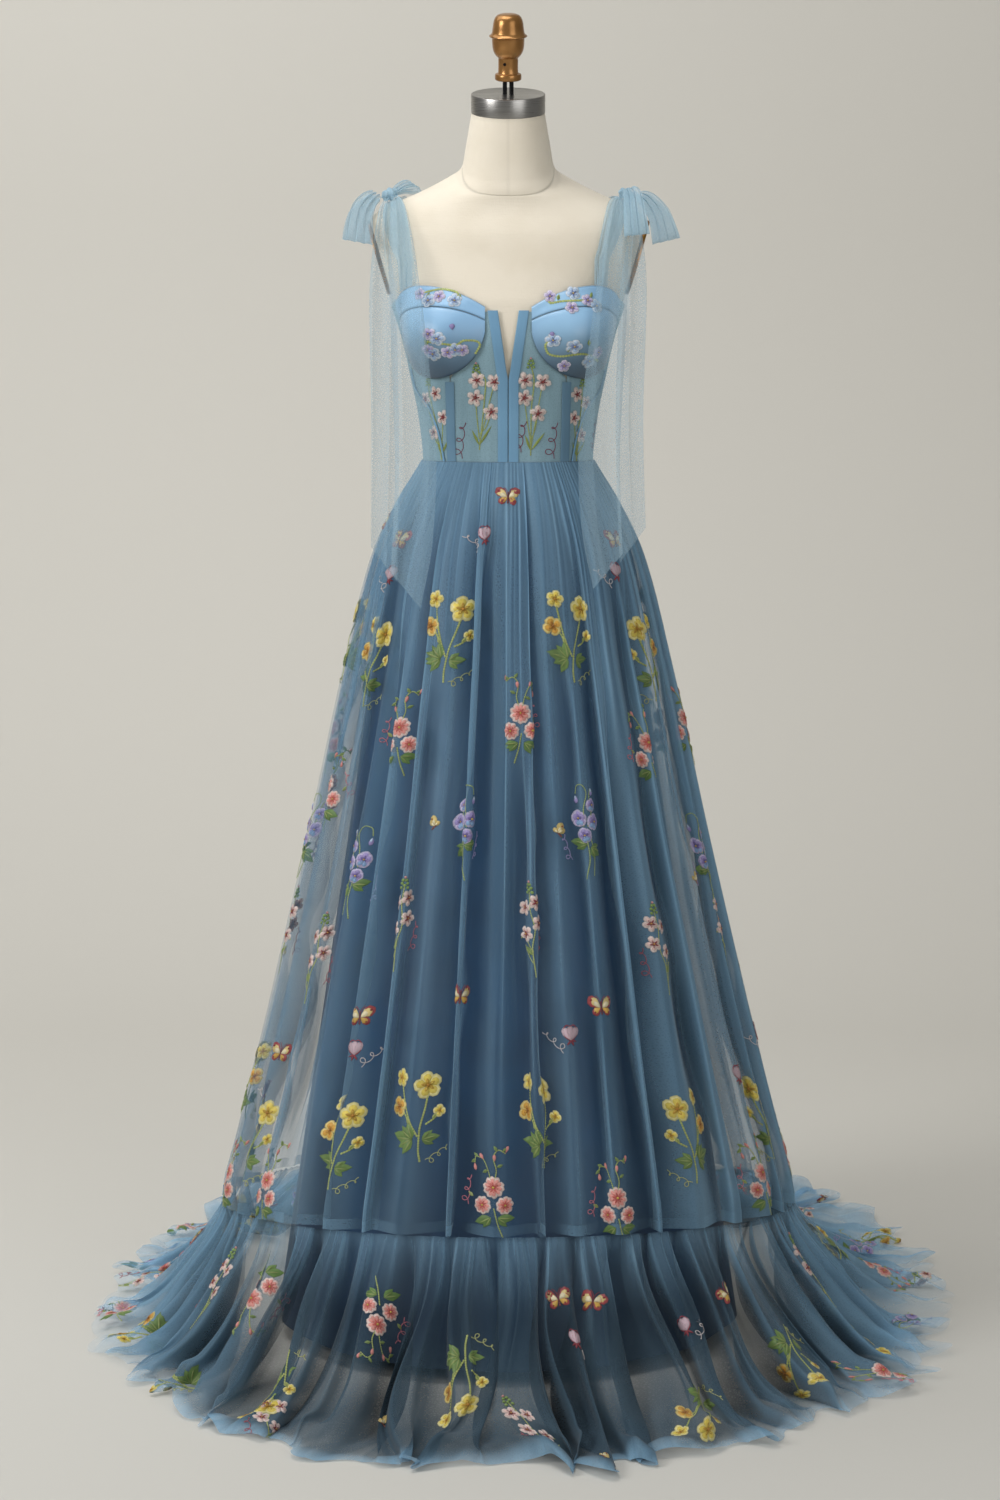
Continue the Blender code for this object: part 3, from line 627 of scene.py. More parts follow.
DARK_BRONZE = Metal("dark_bronze", "bronze", "#ad7a3a", "#805520", 0.35, 1.0)
BLACK_STEEL = Metal("black_steel", "dark_steel", "#2a2a2b", "#1c1c1d", 0.35, 1.0)
CAST_IRON = Metal("enamelled_cast_iron", "", "#1f1f20", "#141415", 0.5, 0.0)
EMBROIDERY_FLOSS = Floss("embroidery_floss", roughness=0.45, through=0.35, sheen=0.2)


# ---------------------------------------------------------------- the dress form
@dataclass
class DressForm:
    """A linen-covered torso on a pole, with a steel neck cap and a turned handle.

    Each section is height, half width, front, back and tilt in degrees; an armhole is height
    and the half width of its flat; the handle is radius and height.
    """

    sections: Table = (
        (0.900, 0.1440, 0.0960, 0.1080, 0), (0.930, 0.1570, 0.1080, 0.1200, 0),
        (0.980, 0.1600, 0.1110, 0.1230, 0), (1.060, 0.1390, 0.1000, 0.1070, 0),
        (1.145, 0.1065, 0.0850, 0.0830, 0), (1.200, 0.1120, 0.0920, 0.0870, 0),
        (1.250, 0.1220, 0.1040, 0.0940, 0), (1.300, 0.1330, 0.1150, 0.1010, 0),
        (1.345, 0.1475, 0.1080, 0.1060, 0), (1.362, 0.1555, 0.1020, 0.1080, 0),
        (1.390, 0.1680, 0.0920, 0.1080, 0), (1.430, 0.1800, 0.0780, 0.1040, 0),
        (1.448, 0.1830, 0.0690, 0.0950, 2), (1.461, 0.1700, 0.0630, 0.0890, 5),
        (1.472, 0.1470, 0.0600, 0.0840, 9), (1.481, 0.1220, 0.0580, 0.0800, 12),
        (1.4935, 0.0920, 0.0570, 0.0760, 16), (1.506, 0.0665, 0.0570, 0.0660, 21),
        (1.520, 0.0585, 0.0540, 0.0590, 20), (1.545, 0.0540, 0.0510, 0.0530, 18),
        (1.568, 0.0500, 0.0490, 0.0490, 16), (1.5877, 0.0467, 0.0467, 0.0467, 14),
    )
    armhole: Table = (
        (1.345, 0.1475), (1.362, 0.1503), (1.390, 0.1585), (1.430, 0.1701), (1.448, 0.1753),
        (1.461, 0.1800))
    roundness: float = 2.3
    rings: int = 150
    ring_sides: int = 144
    outline_steps: int = 241
    outline_heights: tuple[float, float, int] = (1.10, 1.46, 361)
    neck_seam_height: float = 1.500
    neck_seam_rise: float = 0.020
    neck_seam_width: float = 0.0011
    front_seam_turn: float = 0.011
    seam_reach: float = 0.0045
    seam_rings: int = 26
    neck_tilt_deg: float = 14.0
    cap_radius: float = 0.0474
    cap_height: float = 0.0235
    cap_wall: float = 0.0012
    post_radius: float = 0.0028
    post_spread: float = 0.0042
    post_height: float = 0.0165
    handle: Table = (
        (0.0000, 0.0000), (0.0150, 0.0000), (0.0165, 0.0008), (0.0169, 0.0022),
        (0.0169, 0.0066), (0.0163, 0.0080), (0.0134, 0.0090), (0.0127, 0.0106),
        (0.0126, 0.0180), (0.0126, 0.0280), (0.0136, 0.0291), (0.0154, 0.0308),
        (0.0174, 0.0335), (0.0190, 0.0370), (0.0200, 0.0415), (0.0205, 0.0468),
        (0.0206, 0.0532), (0.0214, 0.0538), (0.0236, 0.0546), (0.0242, 0.0553),
        (0.0240, 0.0562), (0.0222, 0.0574), (0.0209, 0.0590), (0.0204, 0.0610),
        (0.0198, 0.0655), (0.0191, 0.0710), (0.0181, 0.0755), (0.0165, 0.0790),
        (0.0140, 0.0815), (0.0105, 0.0829), (0.0060, 0.0834), (0.0000, 0.0835))
    hole_radius: float = 0.0021
    hole_reach: float = 0.0126
    hole_at: float = 0.0215
    hole_turn_deg: float = -21.0
    plate_height: float = 0.0980
    plate_width: float = 0.0700
    plate_thickness: float = 0.0050
    plate_centre: float = 1.4050
    plate_foot: float = 1.362
    armhole_slope: float = 0.29

    def section(self, heights: Array) -> Array:
        """The body's reaches at some heights.

        Args:
            heights: Heights in metres.

        Returns:
            Half width, front, back, tilt and armhole limit, each at all the heights.
        """
        flat = np.array(self.armhole)
        limit = np.interp(heights, flat[:, 0], flat[:, 1])
        limit = np.where((heights < flat[0, 0]) | (heights > flat[-1, 0]), 1.0, limit)
        return np.vstack([read(self.sections, heights), limit])

    def outline(self, heights: Array, turns: Array) -> Array:
        """The body's outline at some heights.

        Args:
            heights: Heights in metres.
            turns: Angles in radians.

        Returns:
            The x and y of each turn at each height.
        """
        width, front, back, _, limit = self.section(heights)[..., None]
        points = oval(turns[None, :], width, front, back, self.roundness)
        points[..., 0] = np.clip(points[..., 0], -limit, limit)
        return points

    def __post_init__(self) -> None:
        """Lays out the left half of the body by height and distance round it."""
        self.heights = np.linspace(*self.outline_heights)
        points = self.outline(self.heights, np.linspace(FRONT, -FRONT, self.outline_steps))
        along = lengths(points, 1)
        self.half = along[:, -1]
        shares = np.linspace(0, 1, self.outline_steps)
        self.skin = np.stack([
            np.column_stack([np.interp(shares, run / run[-1], row[:, k]) for k in (0, 1)])
            for row, run in zip(points, along)])

    def distance_at(self, height: float, x: float, at_front: bool) -> float:
        """The distance round the body, at a height, to a place x out."""
        steps = 600
        distance = np.linspace(0, float(self.half_round(height)), steps)
        points = self._skin_at(np.full(steps, height), distance)
        half = slice(0, steps // 2) if at_front else slice(None, steps // 2, -1)
        return float(np.interp(x, points[half, 0], distance[half]))

    def half_round(self, height: Array | float) -> Array:
        """The distance round the body from the centre front to the centre back."""
        return np.interp(height, self.heights, self.half)

    def _skin_at(self, height: Array, distance: Array) -> Array:
        """Points of the left half by height and distance round, as x and y."""
        h = np.clip((height - self.heights[0]) / (self.heights[1] - self.heights[0]),
                    0, len(self.heights) - 1.001)
        steps = self.outline_steps - 1
        q = np.abs(distance / self.half_round(height)) * steps
        past = q > steps
        made = between(self.skin, h, np.clip(np.where(past, 2 * steps - q, q), 0, steps - 0.001))
        made[..., 0] *= np.where(past, -1, 1) * np.where(distance < 0, -1, 1)
        return made

    def place(self, height: Array, distance: Array, off: Array | float, side: int) -> Array:
        """Points that stand off the body.

        Args:
            height: Heights in metres.
            distance: Distances round the body from the centre front.
            off: How far each point stands off the body.
            side: 1 for the wearer's left, -1 for the right.

        Returns:
            The points.
        """
        height, distance = np.broadcast_arrays(np.asarray(height, float), distance)
        reach = 0.004
        here = self._skin_at(height, distance)
        run = self._skin_at(height, distance + reach) - self._skin_at(height, distance - reach)
        run /= np.linalg.norm(run, axis=-1, keepdims=True)
        x, y = here[..., 0] + run[..., 1] * off, here[..., 1] - run[..., 0] * off
        return stacked(side * x, y, height)

    def _skin_piece(self) -> None:
        """The linen skin, with a fine crease sewn round the neck and down its front, and painted shade
        in the creases and under the neck cap.
        """
        base, neck = self.sections[0][0], self.sections[-1][0]
        low, rise, reach = self.neck_seam_height, self.neck_seam_rise, self.seam_reach
        heights = np.sort(np.concatenate([np.linspace(base, neck, self.rings), np.linspace(
            low - reach - 0.00001, low + rise + reach - 0.00001, self.seam_rings)]))
        turns = np.linspace(0, math.tau, self.ring_sides, endpoint=False)
        seam = low + rise * np.minimum(1, 1 + np.sin(turns))[None, :]
        flat = self.outline(heights, turns)
        tilt = np.radians(self.section(heights)[3])[:, None]
        heights = heights[:, None]
        points = np.dstack([flat, heights + flat[..., 1] * np.tan(tilt)])
        inward = 0.0008 * hump(heights - seam, self.neck_seam_width)
        front = hump(turns - (FRONT + math.tau), self.front_seam_turn)[None, :]
        inward = inward + 0.0002 * front * faded(heights, seam, seam + 0.003)
        points[..., :2] *= 1 - inward[..., None] / 0.06
        # painted shade: darker in the seam creases, as deep as they are drawn in, and in a band at the
        # top of the neck under the cap
        shade = 1 - 340 * inward - 0.10 * hump(heights - neck, 0.002)
        faces = capped_faces(*points.shape[:2])
        points = np.vstack([points.reshape(-1, 3), points[0].mean(0), points[-1].mean(0)])
        skin = add_piece("form_skin", points, faces, COVER_LINEN, ["form_body"], 50,
                         {"shade": np.r_[shade.ravel(), 1, 1]})
        self.surface = BVHTree.FromPolygons([v.co.copy() for v in skin.data.vertices], faces)

    def _turned(self, name: str, profile: Table, base: Matrix, finish: Finish,
                nodes: Sequence[str], segments: int) -> None:
        """Turns a profile about an axis.

        Args:
            name: The piece's name.
            profile: Radius and height pairs that start and end on the axis.
            base: Where the axis stands.
            finish: What it is made of.
            nodes: The CAD nodes that it stands for.
            segments: How many sides it has.
        """
        radius, height = np.array(profile).T[..., None]
        turn = np.linspace(0, math.tau, segments, endpoint=False)
        points = stacked(radius * np.cos(turn), radius * np.sin(turn), height)
        points = np.vstack([points[1:-1].reshape(-1, 3), points[0, 0], points[-1, 0]])
        add_piece(name, [base @ Vector(p) for p in points],
                  capped_faces(len(profile) - 2, segments), finish, nodes, 38)

    def _fittings(self) -> None:
        """The neck cap, the forked post and the turned handle, leaning with the neck."""
        neck = Matrix.Translation((0, 0, self.sections[-1][0]))
        neck @= Matrix.Rotation(math.radians(self.neck_tilt_deg), 4, "X")
        r, w, base = self.cap_radius, self.cap_wall, SEAM_GAP
        top, post = base + self.cap_height, base + self.cap_height - 0.3 * w
        cap = ((0, base), (r, base), (r, top - w), (r - w * 0.3, top - w * 0.3), (r - w, top),
               (r - 2.2 * w, post), (0, post))
        self._turned("neck_cap_steel", cap, neck, BRUSHED_STEEL, ["neck_cap"], 128)
        grip, p = SEAM_GAP * 3 + self.cap_height + self.post_height, self.post_radius
        for k in (-1, 1):
            self._turned(f"post_tine_{k + 2}", ((0, post), (p, post), (p, grip), (0, grip)),
                         neck @ Matrix.Translation((k * self.post_spread, 0, 0)), BLACK_STEEL,
                         ["handle_post"], 24)
        handle = [(radius, height + grip) for radius, height in self.handle]
        self._turned("handle_grip", handle, neck, COPPER_LACQUER, ["handle"], 72)
        # the handle's hole is a flat dark disc on its surface: painted shade for the hole's dark
        # inside
        r, deep = self.hole_radius, 0.0003
        spot = neck @ Matrix.Rotation(math.radians(self.hole_turn_deg), 4, "Z")
        spot @= Matrix.Translation((0, -self.hole_reach, grip + self.hole_at))
        self._turned("handle_hole", ((0, 0), (r, 0), (r * 0.9, deep), (0, deep)),
                     spot @ Matrix.Rotation(math.pi / 2, 4, "X"), BLACK_STEEL, (), 24)

    def _plates(self) -> None:
        """The bronze plates in the armholes, with a rolled rim."""
        t, r = self.plate_thickness, 0.5
        profile = ((0, 0), (r - 0.006, 0), (r, t * 0.25), (r, t * 0.7), (r - 0.008, t * 0.95),
                   (r - 0.02, t), (r - 0.06, t * 0.93), (0, t * 0.93))
        reach = dict(self.armhole)[self.plate_foot] + 2 * SEAM_GAP
        reach += self.armhole_slope * (self.plate_centre - self.plate_foot)
        lean = math.pi / 2 + math.atan(self.armhole_slope)
        for label, side in SIDES.items():
            base = (Matrix.Translation((side * reach, 0, self.plate_centre))
                    @ Matrix.Rotation(side * lean, 4, "Y")
                    @ Matrix.Diagonal((self.plate_height, self.plate_width, 1, 1)))
            self._turned(f"armhole_disc_{label}", profile, base, DARK_BRONZE,
                         [f"armhole_plate_{label}"], 96)

    def build(self) -> None:
        """Builds the form and gives the CAD's pole and base their finishes."""
        self._skin_piece()
        self._fittings()
        self._plates()
        for name, finish in (("stand_pole", BRUSHED_STEEL), ("stand_base", CAST_IRON)):
            frame["nodes"][name].data.materials.clear()
            frame["nodes"][name].data.materials.append(finish.material())
        LOG.info("dress form: skin, cap, handle and plates")


# ---------------------------------------------------------------- needlework
class Stitch(Enum):
    """The shapes that the needlework is made of."""

    PETAL = 0
    LEAF = 1
    KNOT = 2
    CHAIN = 3


class Spray(Enum):
    """The embroidered motifs."""

    BUTTERFLY = "butterfly"
    MOTH = "small butterfly"
    BUD = "bud on a curled stem"
    BUTTERCUP = "yellow sprig"
    DAISY = "pink sprig"
    VIOLET = "lilac sprig"
    BLOSSOM = "pale blossom sprig"


@dataclass
class Needlework:
    """Satin, chain and knot stitches, laid out flat in millimetres, x right and y up.

    Geometry Nodes put a stitch at each place, and the result is carried onto the cloth.
    """

    outlines: dict[Stitch, Table] = field(default_factory=lambda: {
        Stitch.PETAL: ((0, 0), (0.22, -0.26), (0.55, -0.48), (0.84, -0.38), (1.0, -0.1),
                       (0.96, 0.12), (0.84, 0.4), (0.55, 0.48), (0.22, 0.26)),
        Stitch.LEAF: ((0, 0), (0.18, -0.3), (0.45, -0.5), (0.75, -0.3), (1.0, 0),
                      (0.75, 0.3), (0.45, 0.5), (0.18, 0.3)),
        Stitch.KNOT: tuple((0.5 * math.cos(a), 0.5 * math.sin(a))
                           for a in np.arange(7) * math.tau / 7),
        Stitch.CHAIN: ((-0.5, 0), (-0.28, -0.42), (0.25, -0.46), (0.5, 0), (0.25, 0.46),
                       (-0.28, 0.42)),
    })
    uneven_turn: float = 0.10
    rows: list[Row] = field(default_factory=list)
    seed: int = 4

    def __post_init__(self) -> None:
        """Starts the layout at the origin."""
        self.rng = np.random.default_rng(self.seed)
        self.start(0)

    def start(self, spray: int, x: float = 0, y: float = 0, lean: float = 0.0,
              mirror: bool = False) -> None:
        """Starts a motif.

        Args:
            spray: The motif's number, which its points keep.
            x: Its middle in millimetres.
            y: Its middle in millimetres.
            lean: Its turn in degrees, anticlockwise.
            mirror: Whether it is a mirror image.
        """
        self.spray, self.middle, self.lean = spray, (x, y), math.radians(lean)
        self.mirror = mirror

    def add(self, kind: Stitch, x: float, y: float, turn: float, length: float,
            width: float, colour: str, rise: float = 0.7) -> None:
        """Adds one stitched shape; turn is in degrees and sizes are in millimetres."""
        x, turn = -x if self.mirror else x, math.radians(turn)
        turn = math.pi - turn if self.mirror else turn
        c, s = math.cos(self.lean), math.sin(self.lean)
        place = (self.middle[0] + x * c - y * s, self.middle[1] + x * s + y * c)
        light = np.array(linear(colour)[:3]) * self.rng.uniform(0.86, 1.12)
        self.rows.append((kind.value, *place, turn + self.lean, length, width, rise, *light,
                          self.spray))

    def vine(self, spots: Table, colour: str, pitch: float = 3.2, width: float = 2.0) -> None:
        """Chain stitches along a smooth line through some spots."""
        fine = spaced(spots, 60)
        run = lengths(fine, 0)
        count = max(1, round(run[-1] / pitch))
        for k in range(count):
            near, painted_gradient = (np.array([np.interp(run[-1] * (k + e) / count, run, fine[:, a])
                                   for a in (0, 1)]) for e in (0, 1))
            middle, along = (near + painted_gradient) / 2, painted_gradient - near
            self.add(Stitch.CHAIN, *middle, math.degrees(math.atan2(along[1], along[0])),
                     float(np.hypot(*along)) * 1.2, width * 1.4, colour, 0.9)

    def flower(self, x: float, y: float, radius: float, petals: int, colours: Sequence[str],
               centre: str, turn: float = 90.0, breadth: float = 1.15) -> None:
        """A flower: petals with a pale rim, a body and a deeper streak, and a knotted centre."""
        rim, body, streak = colours
        wide = radius * math.sin(math.pi / petals) * 1.72 * breadth
        for k in range(petals):
            angle = turn + 360 * k / petals
            self.add(Stitch.PETAL, x, y, angle, radius, wide, rim, 0.6 + 0.15 * (k % 2))
            self.add(Stitch.PETAL, x, y, angle, radius * 0.86, wide * 0.74, body,
                     0.95 + 0.15 * (k % 2))
            self.add(Stitch.LEAF, x, y, angle, radius * 0.58, wide * 0.30, streak, 1.5)
        self.add(Stitch.KNOT, x, y, 0, radius * 0.26, radius * 0.26, centre, 2.2)

    def leaves(self, x: float, y: float, turn: float, length: float, colour: str,
               lobes: Sequence[float] = (0.0,)) -> None:
        """A leaf, or several lobes that spring from one place, each with a paler rib."""
        for lobe in lobes:
            size = length * (1.0 if lobe == 0 else 0.74)
            self.add(Stitch.LEAF, x, y, turn + lobe, size, size * 0.52, colour, 0.7)
            self.add(Stitch.LEAF, x, y, turn + lobe, size * 0.8, size * 0.09, "#a9ba72", 1.4)

    def curl(self, x: float, y: float, colour: str, length: float = 34.0,
             turn: float = 70.0) -> None:
        """A tendril of three shrinking loops."""
        t = np.linspace(0, 1, 34)
        size = length * 0.13 * (1.15 - 0.6 * t)
        spin = math.tau * 3 * t
        along, up = length * t + size * np.sin(spin) * 1.1, size * (1 - np.cos(spin))
        c, s = math.cos(math.radians(turn)), math.sin(math.radians(turn))
        self.vine(np.stack([x + along * c - up * s, y + along * s + up * c], -1), colour, 1.9, 0.9)

    def motif(self, kind: Spray) -> None:
        """Adds a whole motif round the middle that start() was given."""
        getattr(self, f"_{kind.name.lower()}")()

    def _butterfly(self) -> None:
        """Cream and yellow wings, edged and spotted in crimson, on a crimson body."""
        for flip, side in ((1, 0), (-1, 180)):
            for turn, size, colour in ((36, 20, "#a8464a"), (36, 17.5, "#e6d28e"),
                                       (34, 11, "#efe6c4"), (-36, 14, "#a8464a"),
                                       (-36, 12, "#d9b254")):
                self.add(Stitch.PETAL, flip, 0.5, side + flip * turn, size, size * 0.74, colour,
                         1.9 - size * 0.06)
            for x, y, size in ((13, 9, 3.4), (8, -5.5, 2.6)):
                self.add(Stitch.KNOT, flip * x, y, 0, size, size, "#8d3038", 2.0)
            self.vine([(0, 6), (flip * 3, 12), (flip * 6, 15)], "#9c3840", 2.4, 0.7)
        self.vine([(0, 8), (0, 1), (0, -8)], "#74303a", 2.6, 2.2)

    def _moth(self) -> None:
        """A small yellow butterfly, seen from the side."""
        for turn, size in ((62, 14), (28, 11), (128, 8)):
            self.add(Stitch.PETAL, 0, 0, turn, size, size * 0.75, "#dcc47c", 0.9)
            self.add(Stitch.PETAL, 0, 0, turn, size * 0.6, size * 0.36, "#efe6c0", 1.3)
        self.add(Stitch.KNOT, 5, 8, 0, 3, 3, "#9a5a3a", 1.8)
        self.vine([(-5, 4), (0, 0), (5, -5)], "#8a4a38", 2.2, 1.8)

    def _bud(self) -> None:
        """A pale round bud outlined in crimson, with sepals and a white tendril."""
        for turn in (62, 90, 118):
            self.add(Stitch.PETAL, 0, -6, turn, 18, 11, "#d5bcc6", 0.7)
        self.vine([(0, -7), (-7.5, 0), (-8, 8), (-3.5, 13), (0, 11), (3.5, 13), (8, 8),
                   (7.5, 0), (0, -7)], "#9c3646", 2.3, 1.2)
        for x in (-3, 0.5, 4):
            self.vine([(x * 0.4, -4), (x, 4), (x * 0.8, 10)], "#b0606c", 2.2, 0.6)
        for turn in (200, 250, 310):
            self.add(Stitch.LEAF, 0, -6, turn, 8, 2.6, "#a03c48", 1.0)
        self.curl(10, -22, "#e6dad8", 36, 38)

    def _buttercup(self) -> None:
        """A large and a small yellow flower, a golden side flower and lobed leaves."""
        lime, leaf = "#b9c272", "#7c9a55"
        yellow, gold = ("#f4e9a4", "#ecd866", "#d6ac42"), ("#f0d98a", "#e2b04a", "#c68834")
        self.vine([(-16, 24), (-12, 6), (-5, -22), (-4, -44), (-6, -60)], lime)
        self.vine([(20, 36), (14, 14), (6, -10), (-3, -28)], lime)
        self.vine([(24, 8), (15, 2), (8, -8)], lime)
        self.vine([(-29, 0), (-22, -8), (-12, -14)], lime)
        self.flower(-16, 34, 17.5, 5, yellow, "#bf8a34", 82, 0.94)
        self.flower(22, 44, 12, 5, yellow, "#bf8a34", 100, 0.94)
        self.flower(24, 9, 13, 4, gold, "#a8702c", 60, 0.94)
        self.flower(-29, 1, 8, 4, yellow, "#bf8a34", 100, 0.94)
        self.leaves(3, -30, 8, 30, leaf, (0.0, 34.0, 68.0, -32.0, -66.0))
        self.leaves(-8, -32, 176, 22, leaf, (0.0, 36.0, -36.0))
        self.leaves(6, -12, 60, 10, lime)
        self.leaves(-20, -8, 130, 9, lime)
        self.curl(-12, -58, "#c3c585", 32, 150)

    def _daisy(self) -> None:
        """Three pink daisies below two looped stems of buds."""
        lime, leaf = "#b4bf72", "#71934f"
        self.vine([(1, 12), (-3, 30), (-10, 44), (-19, 46), (-21, 38)], lime, 2.8, 1.2)
        self.vine([(2, 12), (8, 30), (6, 44), (14, 54), (22, 48)], lime, 2.8, 1.2)
        self.vine([(0, -16), (3, -34), (9, -54)], lime, 3, 1.4)
        for x, y, turn in ((-21, 38, -80), (22, 49, 60), (7, 40, 80), (-8, 42, 120)):
            self.add(Stitch.PETAL, x, y, turn, 9, 4.6, "#e79a92", 1.3)
        for x, y, turn in ((-15, 45, 150), (-3, 30, 200), (12, 52, 120), (9, 33, 20),
                           (18, 52, 10), (-19, 42, 210)):
            self.leaves(x, y, turn, 8.5, "#8da762")
        pinks = ("#f3dcd4", "#eca79d", "#dc6c64")
        self.flower(2, 9, 14, 10, pinks, "#dcc05c", 90, 1.25)
        self.flower(-14, -12, 11.5, 9, pinks, "#dcc05c", 70, 1.25)
        self.flower(14, -14, 11.5, 9, pinks, "#dcc05c", 80, 1.25)
        self.leaves(-4, -27, 200, 23, leaf, (0.0, 30.0))
        self.leaves(4, -28, -10, 22, leaf, (0.0, -34.0))
        self.leaves(-26, -2, 140, 9, lime)
        self.curl(-34, -12, "#d9808c", 36, 78)

    def _violet(self) -> None:
        """Lilac and pale blue flowers on a tall looped stem, with broad leaves at its foot."""
        lime, leaf = "#a9b978", "#6f9150"
        self.vine([(-2, 4), (0, 26), (6, 46), (0, 57), (-9, 54), (-12, 44)], lime, 2.8, 1.2)
        self.vine([(3, 4), (11, 24), (10, 40), (14, 50)], lime, 2.8, 1.2)
        self.vine([(0, -10), (2, -34), (-5, -62)], lime, 3, 1.4)
        self.vine([(5, -8), (9, -34), (6, -58)], lime, 3, 1.1)
        lilac, blue = ("#cfc6e4", "#a99bd0", "#8676b8"), ("#c3d6ea", "#93b6dc", "#8676b8")
        for x, y, size, turn in ((12, 30, 9, 75), (-8, 14, 11, 100), (13, 9, 11, 70),
                                 (-2, -7, 10, 110)):
            self.flower(x, y, size, 5, lilac, "#e0c25a", turn, 1.2)
            for side in (-26, 26):
                self.add(Stitch.PETAL, x, y, turn + 180 + side, size * 0.9, size * 0.7,
                         blue[1], 1.3)
        for x, y in ((-12, 42), (14, 51)):
            self.add(Stitch.PETAL, x, y, -80, 10, 7, "#a99bd0", 1.0)
            self.add(Stitch.PETAL, x, y, -80, 6, 4, "#c3d6ea", 1.5)
        self.leaves(0, -18, 172, 24, leaf, (0.0, 30.0))
        self.leaves(4, -22, -30, 23, leaf, (0.0, -32.0, 34.0))
        self.curl(-26, -38, "#b3a6d4", 34, 100)

    def _blossom(self) -> None:
        """Four-petalled pale blossoms below a cluster of green buds."""
        lime = "#b9c278"
        self.vine([(0, 50), (1, 28), (-3, 2), (2, -24), (0, -58)], lime, 3, 1.3)
        self.vine([(1, -26), (10, -12), (14, -2), (20, -10)], lime, 3, 1.1)
        self.vine([(2, -40), (10, -28), (15, -18)], lime, 3, 1.1)
        self.buds(0, 50, 1.2)
        pale = ("#f3e2dc", "#eccfc8", "#9c3a48")
        for x, y, turn, size in ((-8, 34, 50, 11), (11, 28, 35, 10.5), (-10, 8, 40, 11),
                                 (10, -4, 55, 10.5)):
            self.flower(x, y, size, 5, pale, "#c99a5a", turn, 0.8)
        self.leaves(2, -30, 44, 15, "#8aa45c")
        self.curl(-20, -34, "#b0606e", 38, 96)

    def buds(self, x: float, y: float, size: float = 1.0) -> None:
        """A cluster of small green knots with a pink tip."""
        for dx, dy in ((0, 0), (-3, 2), (3, 2), (-1.5, 5.5), (2, 5.5), (-3.6, -2.5), (3.6, -2.5)):
            self.add(Stitch.KNOT, x + dx * size, y + dy * size, 0, 3.8 * size, 3.8 * size,
                     "#8fab62", 1.4)
        self.add(Stitch.KNOT, x, y + 8.6 * size, 0, 3 * size, 3 * size, "#d9a09a", 1.4)

    def _shapes(self) -> bpy.types.Collection:
        """A low domed mesh for each kind of stitch, one unit long and wide."""
        held = bpy.data.collections.new("stitches")
        for kind, outline in self.outlines.items():
            rim = np.array(outline)
            middle = rim.mean(0)
            n, low = len(rim), kind is Stitch.CHAIN
            shoulder = [] if low else [(*p, 1.0) for p in middle + (rim - middle) * 0.72]
            points = [(*p, 0.0) for p in rim] + shoulder
            points.append((*middle, 1.15 if kind is not Stitch.LEAF else 0.55))
            around = [(k, (k + 1) % n) for k in range(n)]
            faces = [(a, b, b + n, a + n) for a, b in around if not low]
            first = len(shoulder)
            faces += [(a + first, b + first, first + n) for a, b in around]
            mesh = bpy.data.meshes.new(kind.name)
            mesh.from_pydata(points, [], faces)
            mesh.shade_smooth()
            # shade: painted shade darkens each stitch's rim and a painted highlight lifts its crown;
            # the alternate shoulder points give satin-stitch rows their own tone, and a leaf is darker
            # down its rib
            shade = mesh.attributes.new("shade", "FLOAT", "POINT")
            tone = [0.78 if low else 0.62] * n + [1.0 - 0.16 * (k % 2) for k in range(first)]
            shade.data.foreach_set("value", tone + [0.7 if kind is Stitch.LEAF else 1.05])
            held.objects.link(bpy.data.objects.new(f"stitch_{kind.value}", mesh))
        return held

    def _tree(self) -> bpy.types.GeometryNodeTree:
        """Puts the shape that each point asks for on it, turned and sized."""
        tree = bpy.data.node_groups.new("stitches_on_points", "GeometryNodeTree")
        for name, kind in (("Places", "Geometry"), ("Shapes", "Collection"),
                           ("Floss", "Material"), ("Uneven turn", "Float"), ("Seed", "Int")):
            tree.interface.new_socket(name, in_out="INPUT", socket_type=f"NodeSocket{kind}")
        tree.interface.new_socket("Stitched", in_out="OUTPUT", socket_type="NodeSocketGeometry")
        given = add_node(tree, "NodeGroupInput").outputs

        def named(name: str, kind: str) -> NodeSocket:
            """The socket of a stored attribute."""
            node = add_node(tree, "GeometryNodeInputNamedAttribute", {
                "data_type": kind, "Name": name})
            return next(s for s in node.outputs if s.enabled)

        least = add_node(tree, "ShaderNodeMath", {
            "operation": "MULTIPLY", 0: given["Uneven turn"], 1: -1.0})
        shake = add_node(tree, "FunctionNodeRandomValue", {
            "data_type": "FLOAT", 2: least.outputs[0], 3: given["Uneven turn"], "Seed": given["Seed"]})
        turn = add_node(tree, "ShaderNodeMath", {
            "operation": "ADD", 0: named("turned", "FLOAT"), 1: shake.outputs[1]})
        euler = add_node(tree, "ShaderNodeCombineXYZ", {"Z": turn.outputs[0]})
        rotation = add_node(tree, "FunctionNodeEulerToRotation", {"Euler": euler.outputs[0]})
        shapes = add_node(tree, "GeometryNodeCollectionInfo", {
            "Collection": given["Shapes"], "Separate Children": True, "Reset Children": True})
        placed = add_node(tree, "GeometryNodeInstanceOnPoints", {
            "Points": given["Places"], "Instance": shapes.outputs[0], "Pick Instance": True,
            "Instance Index": named("kind", "INT"), "Rotation": rotation.outputs[0],
            "Scale": named("size", "FLOAT_VECTOR")})
        real = add_node(tree, "GeometryNodeRealizeInstances", {"Geometry": placed.outputs[0]})
        done = add_node(tree, "GeometryNodeSetMaterial", {
            "Geometry": real.outputs[0], "Material": given["Floss"]})
        add_node(tree, "NodeGroupOutput", {0: done.outputs[0]})
        return tree

